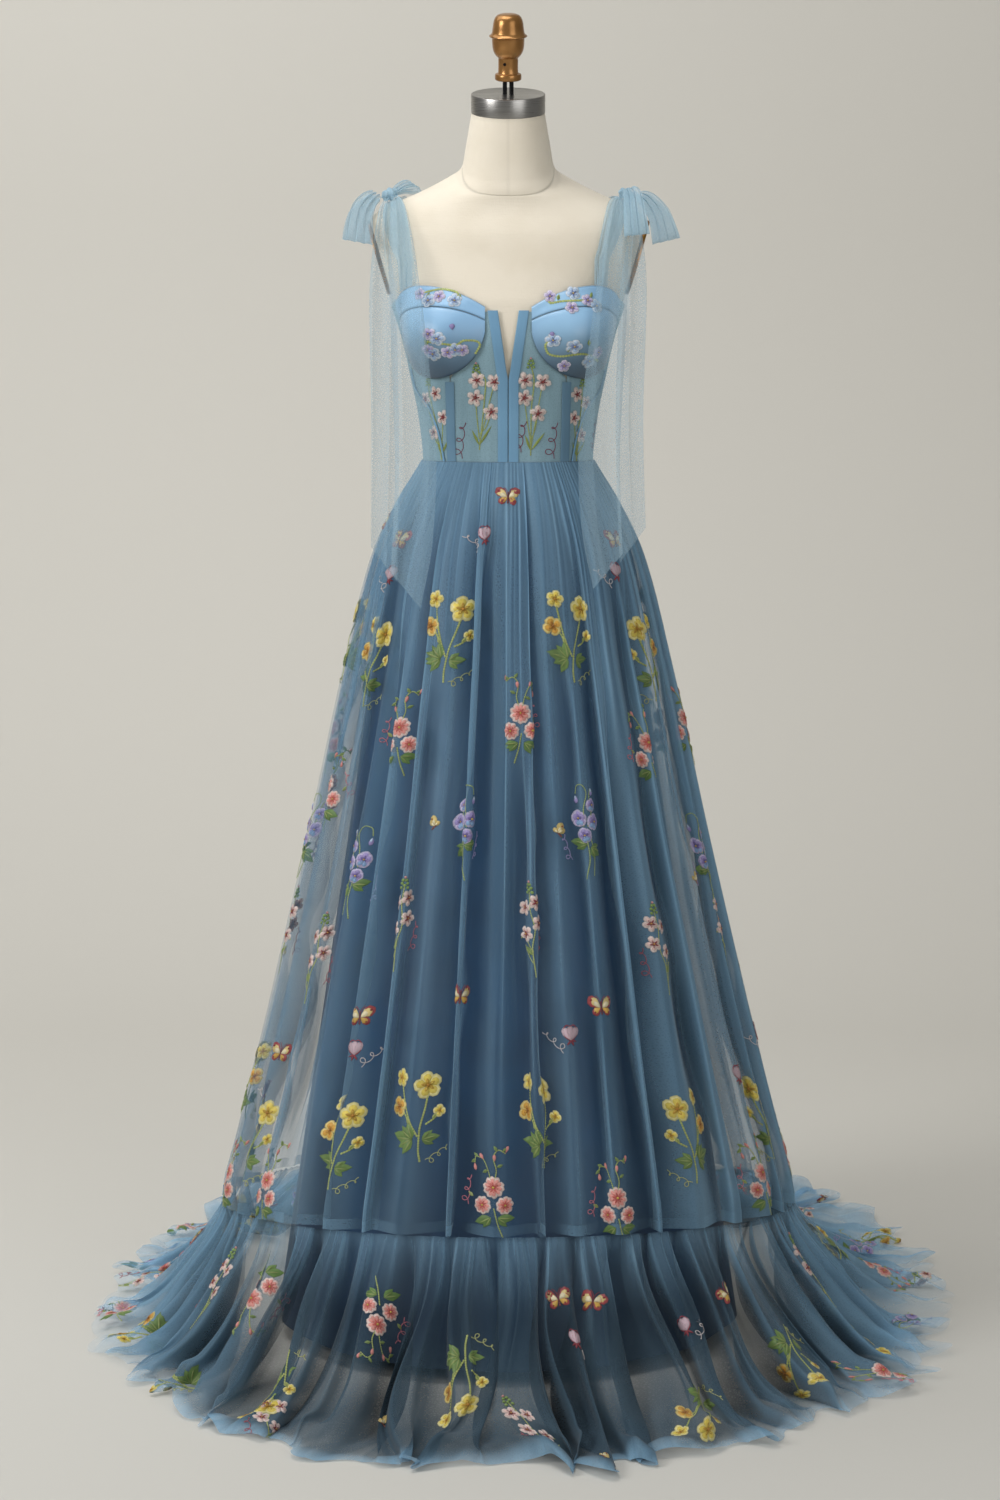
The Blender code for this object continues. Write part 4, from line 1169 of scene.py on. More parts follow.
    def piece(self, name: str, carry: Carry) -> Object:
        """Stitches the layout and carries it onto its cloth.

        Args:
            name: The piece's name.
            carry: Takes flat points in metres, their lift, and each one's motif number.

        Returns:
            The embroidery as a plain mesh.
        """
        table = np.array(self.rows)
        places = bpy.data.meshes.new("places")
        places.from_pydata([(x / 1000, y / 1000, 0) for x, y in table[:, 1:3]], [], [])
        light = np.column_stack([table[:, 7:10], np.ones(len(table))])
        for label, kind, key, values in (
                ("kind", "INT", "value", table[:, 0]), ("turned", "FLOAT", "value", table[:, 3]),
                ("size", "FLOAT_VECTOR", "vector", table[:, 4:7] / 1000),
                ("thread", "FLOAT_COLOR", "color", light),
                ("spray", "INT", "value", table[:, 10])):
            layer = places.attributes.new(label, kind, "POINT")
            values = values.astype(np.int32 if kind == "INT" else np.float32)
            layer.data.foreach_set(key, values.ravel())
        holder, shapes, tree = add_object("places", places), self._shapes(), self._tree()
        modifier = holder.modifiers.new("stitched", "NODES")
        modifier.node_group = tree
        sockets = {s.name: s.identifier for s in tree.interface.items_tree if s.in_out == "INPUT"}
        for label, value in (("Shapes", shapes), ("Floss", EMBROIDERY_FLOSS.material()),
                             ("Uneven turn", self.uneven_turn), ("Seed", self.seed)):
            modifier[sockets[label]] = value
        graph = bpy.context.evaluated_depsgraph_get()
        mesh = bpy.data.meshes.new_from_object(holder.evaluated_get(graph),
                                               preserve_all_data_layers=True, depsgraph=graph)
        holder.modifiers.clear()
        for spare in (holder, *shapes.objects):
            bpy.data.objects.remove(spare)
        bpy.data.collections.remove(shapes)
        bpy.data.node_groups.remove(tree)
        mesh.name = name
        flat, spray = np.zeros(len(mesh.vertices) * 3), np.zeros(len(mesh.vertices), np.int32)
        mesh.vertices.foreach_get("co", flat)
        mesh.attributes["spray"].data.foreach_get("value", spray)
        flat = flat.reshape(-1, 3)
        points = carry(flat[:, :2], flat[:, 2] + 0.0004, spray)
        mesh.vertices.foreach_set("co", points.astype(np.float32).ravel())
        mesh.shade_smooth()
        mesh.update()
        LOG.info("%s: %d stitches, %d faces", name, len(table), len(mesh.polygons))
        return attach(add_object(name, mesh), "root")


# ---------------------------------------------------------------- the bodice
@dataclass
class Bodice:
    """A sheer boned corset with satin cups.

    An edge's marks are a height, and a distance round. A sprig on the corset is its bud, its
    foot, its flowers and its size; on a cup there are flowers, vines and a bud.
    """

    form: DressForm
    panel_off: float = 0.0035
    casing_off: float = 0.0050
    cup_off: float = 0.0057
    centre_edge: Table = (
        (WAIST, 0.0002), (1.180, 0.0002), (1.215, 0.0002), (1.2465, 0.0002),
        (1.262, 0.0024), (1.285, 0.0056), (1.310, 0.0092), (1.336, 0.0130))
    princess_edge: Table = (
        (WAIST, 0.0725), (1.180, 0.0735), (1.215, 0.0740), (1.2465, 0.0745),
        (1.262, 0.0657), (1.285, 0.0435), (1.310, 0.0355), (1.334, 0.0335))
    side_front_edge: Table = (
        (WAIST, 0.0835), (1.178, 0.0910), (1.213, 0.1080), (1.240, 0.1420),
        (1.262, 0.1500), (1.300, 0.1540), (1.350, 0.1580))
    lower_rows: int = 5
    side_seam_heights: Sequence[float] = (WAIST, 1.178, 1.213, 1.240, 1.262, 1.300, 1.340)
    centre_back_heights: Sequence[float] = (WAIST, 1.178, 1.208, 1.232, 1.252, 1.280, 1.300)
    side_front_top: Row = (1.262, 0.0765)
    casing_width: float = 0.0125
    piping_width: float = 0.0030
    placket_width: float = 0.0220
    cup_centre: Row = (1.318, 0.0945)
    cup_half_width: float = 0.0665
    wire_drop: float = 0.0672
    cup_seam: float = 1.3235
    cup_seam_rise: float = 0.0175
    cup_top: Row = (1.3675, 0.1120)
    cup_top_fall: float = 0.0275
    cup_top_reach: Row = (0.0840, 0.0550)
    bulge: float = 0.0240
    bulge_height: float = 1.305
    bulge_reach: float = 0.0750
    corner_share: float = 0.99
    panel_cover: float = 0.83
    cup_sprigs: dict[str, tuple] = field(default_factory=lambda: {
        "left": (
            ((51, 208), (79, 212), (95, 203), (105, 196), (75, 194), (74, 145), (66, 121),
             (94, 127), (103, 138), (52, 153)),
            (((48, 208), (51, 199), (67, 202), (91, 203)),
             ((52, 155), (44, 147), (48, 136), (62, 133), (84, 136), (108, 127))),
            (52, 156)),
        "right": (
            ((-110, 211), (-96, 203), (-84, 208), (-65, 203), (-88, 161), (-79, 155),
             (-90, 141), (-85, 136), (-69, 138), (-61, 141), (-54, 141)),
            (((-111, 211), (-82, 217), (-61, 211), (-65, 202)),
             ((-93, 152), (-61, 147), (-52, 153), (-42, 153), (-34, 148), (-40, 136))),
            (-64, 166))})
    sprigs: dict[str, tuple] = field(default_factory=lambda: {
        "left": (
            ((28, 122), (28, 8), ((21, 103), (43, 101), (20, 81), (37, 61)), 1.0),
            ((98, 98), (91, 0), ((90, 85), (106, 74), (86, 55), (99, 33)), 0.9)),
        "right": (
            ((-40, 116), (-36, 15), ((-39, 103), (-17, 101), (-41, 81), (-21, 63)), 1.0),
            ((-108, 99), (-88, 2), ((-96, 86), (-115, 79), (-85, 56), (-101, 36)), 0.9))})

    def _panel(self, name: str, label: str, inner: Array, outer: Array, off: Array,
               finish: Finish, held: str, rests_on: str, worked: Sequence[Object] = (),
               cover: float = 1.0) -> None:
        """A sheet between two seams.

        Args:
            name: The CAD node's name without its side.
            label: "left" or "right".
            inner: The marks of its inner edge.
            outer: The marks of its outer edge.
            off: How far it stands off the body, with a column for each point of its width.
            finish: What it is made of.
            held: How it is held, or "" where it is no sheet.
            rests_on: What it lies on.
            worked: What is sewn to it.
            cover: What share of the light its net stops.
        """
        share, side = np.linspace(0, 1, off.shape[1])[None, :], SIDES[label]
        marks = inner[:, None] + (outer - inner)[:, None] * share[..., None]
        points = self.form.place(marks[..., 0], marks[..., 1], off, side)
        Shell(points, cover=cover).piece(f"{name}_{label}", finish, side < 0, held, [rests_on],
                                         worked)

    def _panels(self, label: str, worked: Sequence[Object]) -> None:
        """One side's four panels of tulle, pulled in slightly at their seams."""
        rows, gap, low = 64, SEAM_GAP / 2, self.lower_rows
        side_seam = [(h, self.form.half_round(h) / 2) for h in self.side_seam_heights]
        centre_back = [(h, self.form.half_round(h) - gap) for h in self.centre_back_heights]
        wedge = [(h, d + gap) for h, d in self.princess_edge[:low - 1]] + [self.side_front_top]
        down = np.linspace(0, 1, rows)[:, None]
        for name, inner, near, outer, painted_gradient, columns in (
                ("bodice_front", self.centre_edge, 0, self.princess_edge, -gap, 40),
                ("bodice_side_front", wedge, 0, self.side_front_edge[:low], -gap, 32),
                ("bodice_side", self.side_front_edge, gap, side_seam, -gap, 40),
                ("bodice_back", side_seam, gap, centre_back, 0, 56)):
            inner = spaced(np.array(inner) + (0, near), rows)
            outer = spaced(np.array(outer) + (0, painted_gradient), rows)
            edge = np.minimum(np.linspace(0, 1, columns), np.linspace(1, 0, columns))
            edge = edge[None, :] * (outer - inner)[:, 1:]
            off = self.panel_off - 0.0008 * hump(edge, 0.0016)
            off = off + 0.0004 * np.sin(9 * down + 40 * edge) * faded(edge, 0.004, 0.015)
            self._panel(name, label, inner, outer, off, BODICE_NET, "stretched", "form_skin",
                        worked if name == "bodice_front" else (), self.panel_cover)

    def _trims(self, label: str) -> None:
        """One side's boning casings and piping."""
        low, wide, thin, rows = self.lower_rows, self.casing_width, self.piping_width, 60
        across = np.linspace(-1, 1, 17)
        dome = np.sqrt(np.clip(1 - across ** 2, 0, 1))
        stitched = faded(dome, 0.0, 0.5) - 0.5 * hump(np.abs(across) - 0.72, 0.06)
        for name, edge, by, width, crown, top, finish, held in (
                ("casing_front", self.centre_edge, SEAM_GAP, wide, 0.0007, stitched,
                 CASING_TAPE, "stretched"),
                ("casing_side", self.princess_edge[:low - 1], -wide / 2, wide, 0.0007, stitched,
                 SEAM_TAPE, "stretched"),
                ("piping", self.side_front_edge[:low], -thin / 2, thin, 0.0013, dome,
                 CASING_TAPE, "")):
            inner, outer = (spaced(np.array(edge) + (0, b), rows) for b in (by, by + width))
            off = self.casing_off - 0.0006 + crown * top[None, :]
            self._panel(name, label, inner, outer, off, finish, held, f"bodice_front_{label}_tulle")

    def _placket(self) -> None:
        """The strip that covers the hooks down the centre back."""
        across = np.linspace(-1, 1, 25)
        heights = np.interp(np.linspace(0, 6, 60), range(7), self.centre_back_heights)[:, None]
        off = self.casing_off + 0.0006 * (1 - faded(np.abs(across), 0.8, 1.0)) - 0.0004
        distance = self.form.half_round(heights) + across[None, :] * self.placket_width / 2
        points = self.form.place(np.broadcast_to(heights, distance.shape), distance,
                                 off[None, :], 1)
        Shell(points).piece("placket_tape", CASING_TAPE, False, "stretched",
                            ["bodice_back_left_tulle"], nodes=["back_placket"])

    def _along(self, distance: Array) -> Array:
        """How far along a cup a distance round is, from -1 to 1."""
        return (distance - self.cup_centre[1]) / self.cup_half_width

    def wire(self, distance: Array) -> Array:
        """The height of a cup's underwire."""
        bow = np.sqrt(np.maximum(0, 1 - self._along(distance) ** 2))
        return self.cup_centre[0] - self.wire_drop * bow

    def seam(self, distance: Array) -> Array:
        """The height of the seam across a cup."""
        return self.cup_seam + self.cup_seam_rise * (1 - self._along(distance) ** 2)

    def top(self, distance: Array) -> Array:
        """The height of a cup's top edge."""
        away = distance - self.cup_top[1]
        reach = np.where(away < 0, *self.cup_top_reach)
        return self.cup_top[0] - self.cup_top_fall * (away / reach) ** 2

    def cup_reach(self, height: Array, distance: Array) -> Array:
        """How far a cup stands off the body."""
        away = np.hypot(height - self.bulge_height, distance - self.cup_centre[1])
        share = np.cos(math.pi / 2 * np.minimum(1, away / self.bulge_reach)) ** 2
        return self.cup_off + self.bulge * share

    def _cup(self, name: str, label: str, low: Callable, high: Callable, rows: int,
             worked: Sequence[Object]) -> None:
        """One satin piece of a cup, turned in at its edges, with painted shade towards the wire and
        along its edges.

        Args:
            name: The CAD piece's name without its side.
            label: "left" or "right".
            low: Gives its lower edge's height at a distance round.
            high: Gives its upper edge's height.
            rows: How many points it is high.
            worked: The embroidery on it.
        """
        side, columns = SIDES[label], 57
        place = -np.cos(math.pi * np.linspace(0, 1, columns)) * self.corner_share
        distance = np.broadcast_to(self.cup_centre[1] + self.cup_half_width * place,
                                   (rows + 4, columns))
        share = np.concatenate([[0, 0.0], np.linspace(0.02, 0.98, rows), [1, 1.0]])[:, None]
        bottom, above = low(distance), high(distance)
        height = bottom + (above - bottom) * share
        tall = (above - bottom) * np.minimum(share, 1 - share)
        off = self.cup_reach(height, distance) + 0.0002
        off = off - 0.0013 * hump(tall, 0.0012)
        pull = np.sin(distance * 190 + 3.0 * side) * np.sin(height * 95)
        off = off + 0.0005 * pull * faded(tall, 0.002, 0.012)
        off[[0, -1]] -= 0.0014
        # painted light and shade: lighter towards the seam where light falls from above, darker
        # towards the wire, and painted shade along the turned-in edges
        lit = faded(height, self.cup_centre[0] - self.wire_drop, self.cup_seam + 0.012)
        shade = (0.20 + 0.72 * lit) * (1 - 0.40 * hump(tall, 0.0011))
        Shell(self.form.place(height, distance, off, side), shade=shade).piece(
            f"{name}_{label}", CUP_SATIN, side < 0, "stretched",
            [f"bodice_front_{label}_tulle"], worked)

    def _stitched(self, work: Needlework, part: str, label: str) -> Object:
        """Lays flat needlework, x from the centre front and y up the body, on a part.

        Args:
            work: The needlework.
            part: "bodice" or "cup".
            label: "left" or "right".

        Returns:
            The embroidery.
        """
        side = SIDES[label]

        def lay(flat: Array, lift: Array, _: Array) -> Array:
            """Lays flat points on one side of the bodice."""
            height, distance = flat[:, 1] + WAIST, flat[:, 0] * side
            off = (self.cup_reach(height, distance) + 0.0002 if part == "cup" else self.panel_off)
            return self.form.place(height, distance, off + lift, side)
        return work.piece(f"embroidery_{part}_{label}", lay)

    def _bodice_needlework(self, label: str) -> Object:
        """The blossom sprigs on one side's front panels."""
        side = SIDES[label]
        work = Needlework(seed=20 + side)
        pale, lime = ("#f6eae4", "#f0d9d1", "#9c3a48"), "#b7c272"
        for number, (bud, foot, flowers, size) in enumerate(self.sprigs[label]):
            work.start(number)
            between_flowers = [(sum(p[0] for p in flowers[k:k + 2]) / 2, flowers[k + 1][1])
                               for k in (0, 2)]
            work.vine([bud, *between_flowers, foot], lime, 3, 1.4)
            for k, (x, y) in enumerate(flowers[1:]):
                bow = (x * 0.55 + foot[0] * 0.45, y * 0.6 + foot[1] * 0.4)
                work.vine([(x, y), bow, (foot[0], foot[1] + 8 + 6 * k)], lime, 3, 1.1)
            work.buds(*bud, size)
            for k, (x, y) in enumerate(flowers):
                work.flower(x, y, 11.4 * size, 5, pale, "#b2564e", 40 + 17 * k, 0.74)
            for turn, long in ((56, 30), (112, 22)):
                work.add(Stitch.LEAF, foot[0], foot[1] + 6, turn, long * size, 3.6 * size,
                         "#a8b860", 0.8)
        work.start(2, side * 58, 34)
        work.curl(0, -30, "#8e3a55", 46, 84)
        work.curl(74, -22, "#8e3a55", 40, 80)
        return self._stitched(work, "bodice", label)

    def _cup_needlework(self, label: str) -> Object:
        """The vines of small lilac and blue flowers on one cup, above and below its seam."""
        work = Needlework(seed=30 + SIDES[label])
        mixed = (("#ece6f4", "#d3c8ea", "#a998d6"), ("#e4eef8", "#bfd6ee", "#98a8dc"))
        flowers, vines, bud = self.cup_sprigs[label]
        for vine in vines:
            work.vine(vine, "#c6d080", 3.0, 2.3)
        for k, (x, y) in enumerate(flowers):
            size = 9.2 if k % 2 else 8.0
            work.flower(x, y, size, 5, mixed[k % 2], "#e0c25a", 90 + 25 * k, 0.95)
        work.add(Stitch.PETAL, *bud, 95, 8, 6, "#a99bd0", 1.0)
        for x, y, turn in ((60, 205, 80), (68, 140, 70), (90, 148, 100), (100, 208, 60)):
            work.leaves(x * SIDES[label], y - 2, turn, 8, "#9fb45c")
        return self._stitched(work, "cup", label)

    def build(self) -> None:
        """Builds the panels, trims, cups and their embroidery."""
        for label in SIDES:
            self._panels(label, [self._bodice_needlework(label)])
            self._trims(label)
            self._cup("cup_lower", label, self.wire, lambda d: self.seam(d) - SEAM_GAP, 34,
                      [self._cup_needlework(label)])
            self._cup("cup_upper", label, lambda d: self.seam(d) + SEAM_GAP, self.top, 16, ())
        self._placket()
        LOG.info("bodice: panels, casings, piping, placket, cups and embroidery")


# ---------------------------------------------------------------- straps and bows
@dataclass(frozen=True)
class Loop:
    """A bow loop: the strip runs out from start by bend to end, and back behind."""

    name: str
    start: Row
    bend: Row
    end: Row
    across: Row
    root_width: float
    end_width: float
    puff: float


@dataclass
class Ribbons:
    """Gathered tulle straps, knotted on the shoulders in bows with long hanging ends.

    A strap row is turn over the shoulder, middle, half width and clearance. An end's row is
    outer x and z, inner x and z, and y.
    """

    form: DressForm
    bodice: Bodice
    front_strap: Table = (
        (-14, 0.1170, 0.0085, 0.0060), (8, 0.1260, 0.0115, 0.0050),
        (30, 0.1340, 0.0150, 0.0038), (55, 0.1410, 0.0160, 0.0034),
        (89.7, 0.1470, 0.0120, 0.0032))
    back_strap: Table = (
        (90.3, 0.1470, 0.0120, 0.0032), (125, 0.1400, 0.0160, 0.0034),
        (150, 0.1240, 0.0160, 0.0040), (178, 0.1060, 0.0140, 0.0045),
        (208, 0.0930, 0.0120, 0.0045))
    strap_shift: float = 0.0065
    shoulder_core: Row = (0.0, 0.010, 1.400)
    knot_half: Row = (0.0140, 0.0120, 0.0085)
    root_reach: float = 0.0500
    loops: Sequence[Loop] = (
        Loop("bow_loop_outer_right", (-0.1668, 0.0040, 1.4820), (-0.1920, -0.0280, 1.4890),
             (-0.1905, -0.0780, 1.4220), (-0.88, 0.0, 0.47), 0.011, 0.042, 0.010),
        Loop("bow_loop_back_right", (-0.1440, 0.0200, 1.4895), (-0.1340, 0.0420, 1.5040),
             (-0.1200, 0.0660, 1.4960), (-0.80, 0.30, 0.50), 0.010, 0.024, 0.007),
        Loop("bow_loop_outer_left", (0.1668, 0.0060, 1.4820), (0.1920, -0.0160, 1.4890),
             (0.2010, -0.0560, 1.4240), (0.90, 0.0, 0.44), 0.011, 0.038, 0.010),
        Loop("bow_loop_front_left", (0.1550, 0.0010, 1.4930), (0.1570, -0.0600, 1.5070),
             (0.1620, -0.1020, 1.4300), (0.98, 0.0, 0.20), 0.012, 0.034, 0.009))
    loop_turn: Row = (0.06, 0.94)
    loop_depth: float = 1.5
    front_end: Table = (
        (0.1500, 1.4820, 0.1420, 1.4840, -0.0060), (0.1490, 1.4740, 0.1340, 1.4760, -0.0370),
        (0.1500, 1.4440, 0.1240, 1.4440, -0.0700), (0.1500, 1.3900, 0.1140, 1.3900, -0.1050),
        (0.1470, 1.3200, 0.1040, 1.3200, -0.1280), (0.1400, 1.1460, 0.0880, 1.1460, -0.1340),
        (0.1430, 1.0650, 0.0930, 1.0500, -0.1420), (0.1460, 1.0100, 0.1090, 0.9650, -0.1520))
    outer_end: Table = (
        (0.1590, 1.4780, 0.1520, 1.4800, -0.0060), (0.1630, 1.4680, 0.1530, 1.4710, -0.0350),
        (0.1680, 1.4400, 0.1540, 1.4400, -0.0560), (0.1750, 1.3500, 0.1410, 1.3500, -0.0720),
        (0.1730, 1.2000, 0.1380, 1.2000, -0.0820), (0.1760, 1.0400, 0.1430, 0.9950, -0.1120))
    left_end_lift: float = 0.0240
    strap_single: float = 0.54
    end_single: float = 0.34
    knot_cover: float = 0.80

    def _over_shoulder(self, x: float, turn_deg: float, clearance: float) -> tuple:
        """A point that clears the body, seen from a line through the shoulders.

        Args:
            x: Its place across.
            turn_deg: 0 to the front and 90 straight up.
            clearance: How far it clears the body.

        Returns:
            The point, and the body's normal there.
        """
        turn = math.radians(turn_deg)
        out = Vector((0, -math.cos(turn), math.sin(turn)))
        core = Vector(self.shoulder_core) + Vector((x, 0, 0))
        hit, normal, _, _ = self.form.surface.ray_cast(core + out * 0.3, -out)
        return np.array(hit + normal * clearance), np.array(normal)

    def _cup_top(self, x: float, side: int) -> Array:
        """Where a strap meets a cup's top edge."""
        distance = np.array(self.form.distance_at(self.bodice.cup_top[0], x, True))
        height = self.bodice.top(distance)
        off = self.bodice.cup_reach(height, distance)
        return self.form.place(height + 0.0007, distance, off, side)

    def _back_top(self, x: float, side: int) -> Array:
        """Where a strap meets the top edge of the bodice's back."""
        ends = [self.bodice.side_seam_heights[-1], self.bodice.centre_back_heights[-1]]
        reach = [self.form.half_round(ends[0]) / 2, self.form.half_round(ends[1])]
        distance = self.form.distance_at(sum(ends) / 2, x, False)
        height = np.interp(distance, reach, ends) + 0.0007
        return self.form.place(height, np.array(distance), self.bodice.panel_off, side)

    def _tied(self, name: str, points: Array, base: Array, single: float, held: str,
              rests_on: Sequence[str]) -> None:
        """Makes a folded strip of net a piece.

        Args:
            name: The CAD node's name.
            points: Its grid of points.
            base: The same grid without its folds.
            single: What one layer of its net hides.
            held: How it is held.
            rests_on: What it lies on or hangs from.
        """
        Shell(points, cover=net_cover(points, base, single)).piece(
            name, TIE_NET, held=held, rests_on=rests_on)

    def _strap(self, part: str, table: Table, label: str) -> None:
        """A gathered strap from a cup, or from the back, to the knot.

        Args:
            part: "front" or "back".
            table: The strap's rows.
            label: "left" or "right".
        """
        table, steps, rows, columns = np.array(table), 10, 96, 41
        side, at_front = SIDES[label], part == "front"
        coarse = np.zeros((steps, 3, 3))
        for r, turn in enumerate(np.linspace(table[0, 0], table[-1, 0], steps)):
            middle, half, clear = (np.interp(turn, table[:, 0], table[:, k]) for k in (1, 2, 3))
            middle -= side * self.strap_shift * min(1.0, abs(turn - 90) / 90)
            for c in range(3):
                x = middle + half * (c - 1)
                coarse[r, c] = self._over_shoulder(side * x, turn, clear)[0]
        foot, meet = (0, self._cup_top) if at_front else (-1, self._back_top)
        coarse[foot] = [meet(abs(p[0]), side) for p in coarse[foot]]
        fine = spaced(coarse.reshape(steps, 9), rows).reshape(rows, 3, 3)
        share = np.linspace(0, 1, rows)[:, None]
        across = np.linspace(-1, 1, columns)[None, :]
        slip = across + 0.13 * np.sin(2.3 * math.pi * across + 4 * share + side)
        slip = (slip / np.abs(slip).max())[..., None]
        low, mid, high = (fine[:, None, k] for k in range(3))
        base = mid * (1 - slip ** 2) + (high + low) / 2 * slip ** 2 + (high - low) / 2 * slip
        normal = facing(base)
        if normal[rows // 2, columns // 2, 2] < 0:
            normal = -normal
        to_knot = share if at_front else 1 - share
        fold = (1 + np.cos(math.tau * (2.6 * across + 0.5 * share + 0.3 * side))) / 2
        fold += 0.3 * (1 + np.cos(math.tau * (4.4 * across - 0.8 * share))) / 2
        size = 0.0007 + 0.0012 * faded(to_knot, 0.6, 1.0)
        size += 0.0008 * (1 - faded(to_knot, 0.0, 0.35))
        edge = 1 - 0.9 * np.abs(across) ** 6
        self._tied(f"strap_{part}_{label}", base + normal * (fold * size * edge)[..., None],
                   base, self.strap_single, "gathered",
                   ["form_skin", f"cup_upper_{label}_satin"])

    def _knot(self, label: str) -> BVHTree:
        """A knot of wound tulle on the top of a shoulder.

        Args:
            label: "left" or "right".

        Returns:
            The plain ellipsoid that it fills.
        """
        side, (turn_deg, x, _, clear) = SIDES[label], self.front_strap[-1]
        off = clear + 0.0006 + SEAM_GAP + self.knot_half[2]
        middle, normal = self._over_shoulder(side * x, turn_deg, off)
        turned = Vector(normal).to_track_quat("Z", "Y").to_matrix().to_4x4()
        base = Matrix.Translation(middle) @ turned @ Matrix.Diagonal((*self.knot_half, 1))
        rows, columns = 41, 72
        up = np.linspace(-math.pi / 2, math.pi / 2, rows)[:, None]
        turn = np.linspace(0, math.tau, columns, endpoint=False)[None, :]
        wound = np.cos(7.5 * up + 1.2 * np.sin(turn) + side) * np.cos(up)
        reach = 1 - 0.10 + 0.11 * wound + 0.04 * np.sin(3 * turn + 6 * up) * np.cos(up)
        ball = stacked(np.cos(up) * np.cos(turn), np.sin(up), -np.cos(up) * np.sin(turn))
        wide = (ball * reach[..., None]).reshape(-1, 3)
        points = (np.c_[wide, np.ones(len(wide))] @ np.array(base).T)[:, :3]
        Shell(points.reshape(rows, columns, 3), True, self.knot_cover).piece(
            f"knot_{label}", TIE_NET)
        return BVHTree.FromPolygons([base @ Vector(p) for p in ball.reshape(-1, 3)],
                                    grid_faces(rows, columns, True).tolist())

    def _seated(self, grid: Array, knot: BVHTree) -> Array:
        """The grid with its root moved until the row there just clears the knot."""
        gaps = []
        for root in grid[0]:
            place, normal = (np.array(v) for v in knot.find_nearest(Vector(root))[:2])
            normal = normal if normal @ (place - self._middle) > 0 else -normal
            gaps.append((float((root - place) @ normal), root, place + normal * 0.0009))
        _, root, place = min(gaps, key=lambda g: g[0])
        share = np.maximum(0, 1 - np.linalg.norm(grid - root, axis=-1) / self.root_reach)
        return grid + (place - root) * share[..., None]

    def _loop(self, loop: Loop, knot: BVHTree, label: str) -> None:
        """A bow loop with pleats that fan out of the knot.

        Args:
            loop: Its places and sizes.
            knot: What it springs from.
            label: "left" or "right".
        """
        start, bend, end, wide = (np.array(p) for p in (
            loop.start, loop.bend, loop.end, loop.across))
        turn = math.pi * np.linspace(*self.loop_turn, 72)[:, None]
        out = np.sin(turn)
        near, painted_gradient = start + (bend - start) * out, bend + (end - bend) * out
        middle, along = near + (painted_gradient - near) * out, painted_gradient - near
        across = wide - along * ((along @ wide)[:, None] / (along ** 2).sum(1)[:, None])
        across /= np.linalg.norm(across, axis=1, keepdims=True)
        depth = np.cross(along, across)
        depth /= np.linalg.norm(depth, axis=1, keepdims=True)
        depth *= -np.sign(depth[:, 1:2])
        middle = middle + depth * (self.loop_depth * loop.puff * np.cos(turn) * out)
        half = (loop.root_width + (loop.end_width - loop.root_width) * out) / 2
        side = np.linspace(-1, 1, 41)[None, :]
        slip = side + 0.10 * np.sin(math.tau * 1.6 * side + 2.4 * out)
        slip /= np.abs(slip).max()
        base = middle[:, None] + across[:, None] * (half * slip)[..., None]
        fold = np.cos(math.tau * (1.5 * side + 0.25 * np.cos(turn)) + len(loop.name))
        fold = fold + 0.35 * np.cos(math.tau * (3.3 * side - 0.4 * out) + 1.0)
        size = 0.0006 + 0.0008 * np.sin(math.pi * np.clip(out * 1.2, 0, 1))
        points = self._seated(base + depth[:, None] * (fold * size)[..., None], knot)
        self._tied(loop.name, points, self._seated(base, knot), self.strap_single, "folded",
                   [f"knot_{label}_tulle"])

    def _end(self, name: str, table: Table, knot: BVHTree, label: str) -> None:
        """A hanging end, folded softly along its length, with a slanted cut end.

        Args:
            name: "tie_end_front" or "tie_end_outer".
            table: Its rows.
            knot: What it hangs from.
            label: "left" or "right".
        """
        side = SIDES[label]
        outer_x, outer_z, inner_x, inner_z, y = spaced(table, 150).T[..., None]
        down = (outer_z[0] - outer_z) / (outer_z[0] - outer_z[-1])
        across = np.linspace(0, 1, 57)[None, :]
        phase = 0.7 * side + (1.3 if "outer" in name else 0.0)
        wave = math.tau * (1.7 * across + 0.35 * down) + phase
        spread = 0.5 + 0.5 * faded(down, 0.0, 0.5)
        slip = across + 0.06 * spread * np.sin(wave)
        slip = slip - slip[:, :1] * (1 - across) - (slip[:, -1:] - 1) * across
        slip = np.clip(slip, 0, 1)
        x, z = outer_x + (inner_x - outer_x) * slip, outer_z + (inner_z - outer_z) * slip
        base = stacked(side * x, y, z + (self.left_end_lift if side > 0 else 0) * down)
        fine_fold = np.cos(math.tau * (4.3 * across - 0.6 * down) + 2 * phase)
        size = 0.0018 - 0.0007 * faded(down, 0.5, 1.0)
        points = base.copy()
        points[..., 1] += size * np.cos(wave) + 0.0002 * fine_fold * (1 - faded(down, 0.3, 0.9))
        points[..., 0] += side * 0.003 * np.sin(3.5 * down + phase) * down
        self._tied(f"{name}_{label}", self._seated(points, knot), self._seated(base, knot),
                   self.end_single, "hung", [f"knot_{label}_tulle"])

    def build(self) -> None:
        """Builds the straps, and each shoulder's knot, loops and ends."""
        for label, side in SIDES.items():
            self._strap("front", self.front_strap, label)
            self._strap("back", self.back_strap, label)
            turn_deg, x, _, clear = self.front_strap[-1]
            self._middle = self._over_shoulder(side * x, turn_deg, clear + self.knot_half[2])[0]
            knot = self._knot(label)
            self._end("tie_end_front", self.front_end, knot, label)
            self._end("tie_end_outer", self.outer_end, knot, label)
            for loop in self.loops:
                if loop.name.endswith(label):
                    self._loop(loop, knot, label)
        LOG.info("straps, knots, loops and hanging ends")


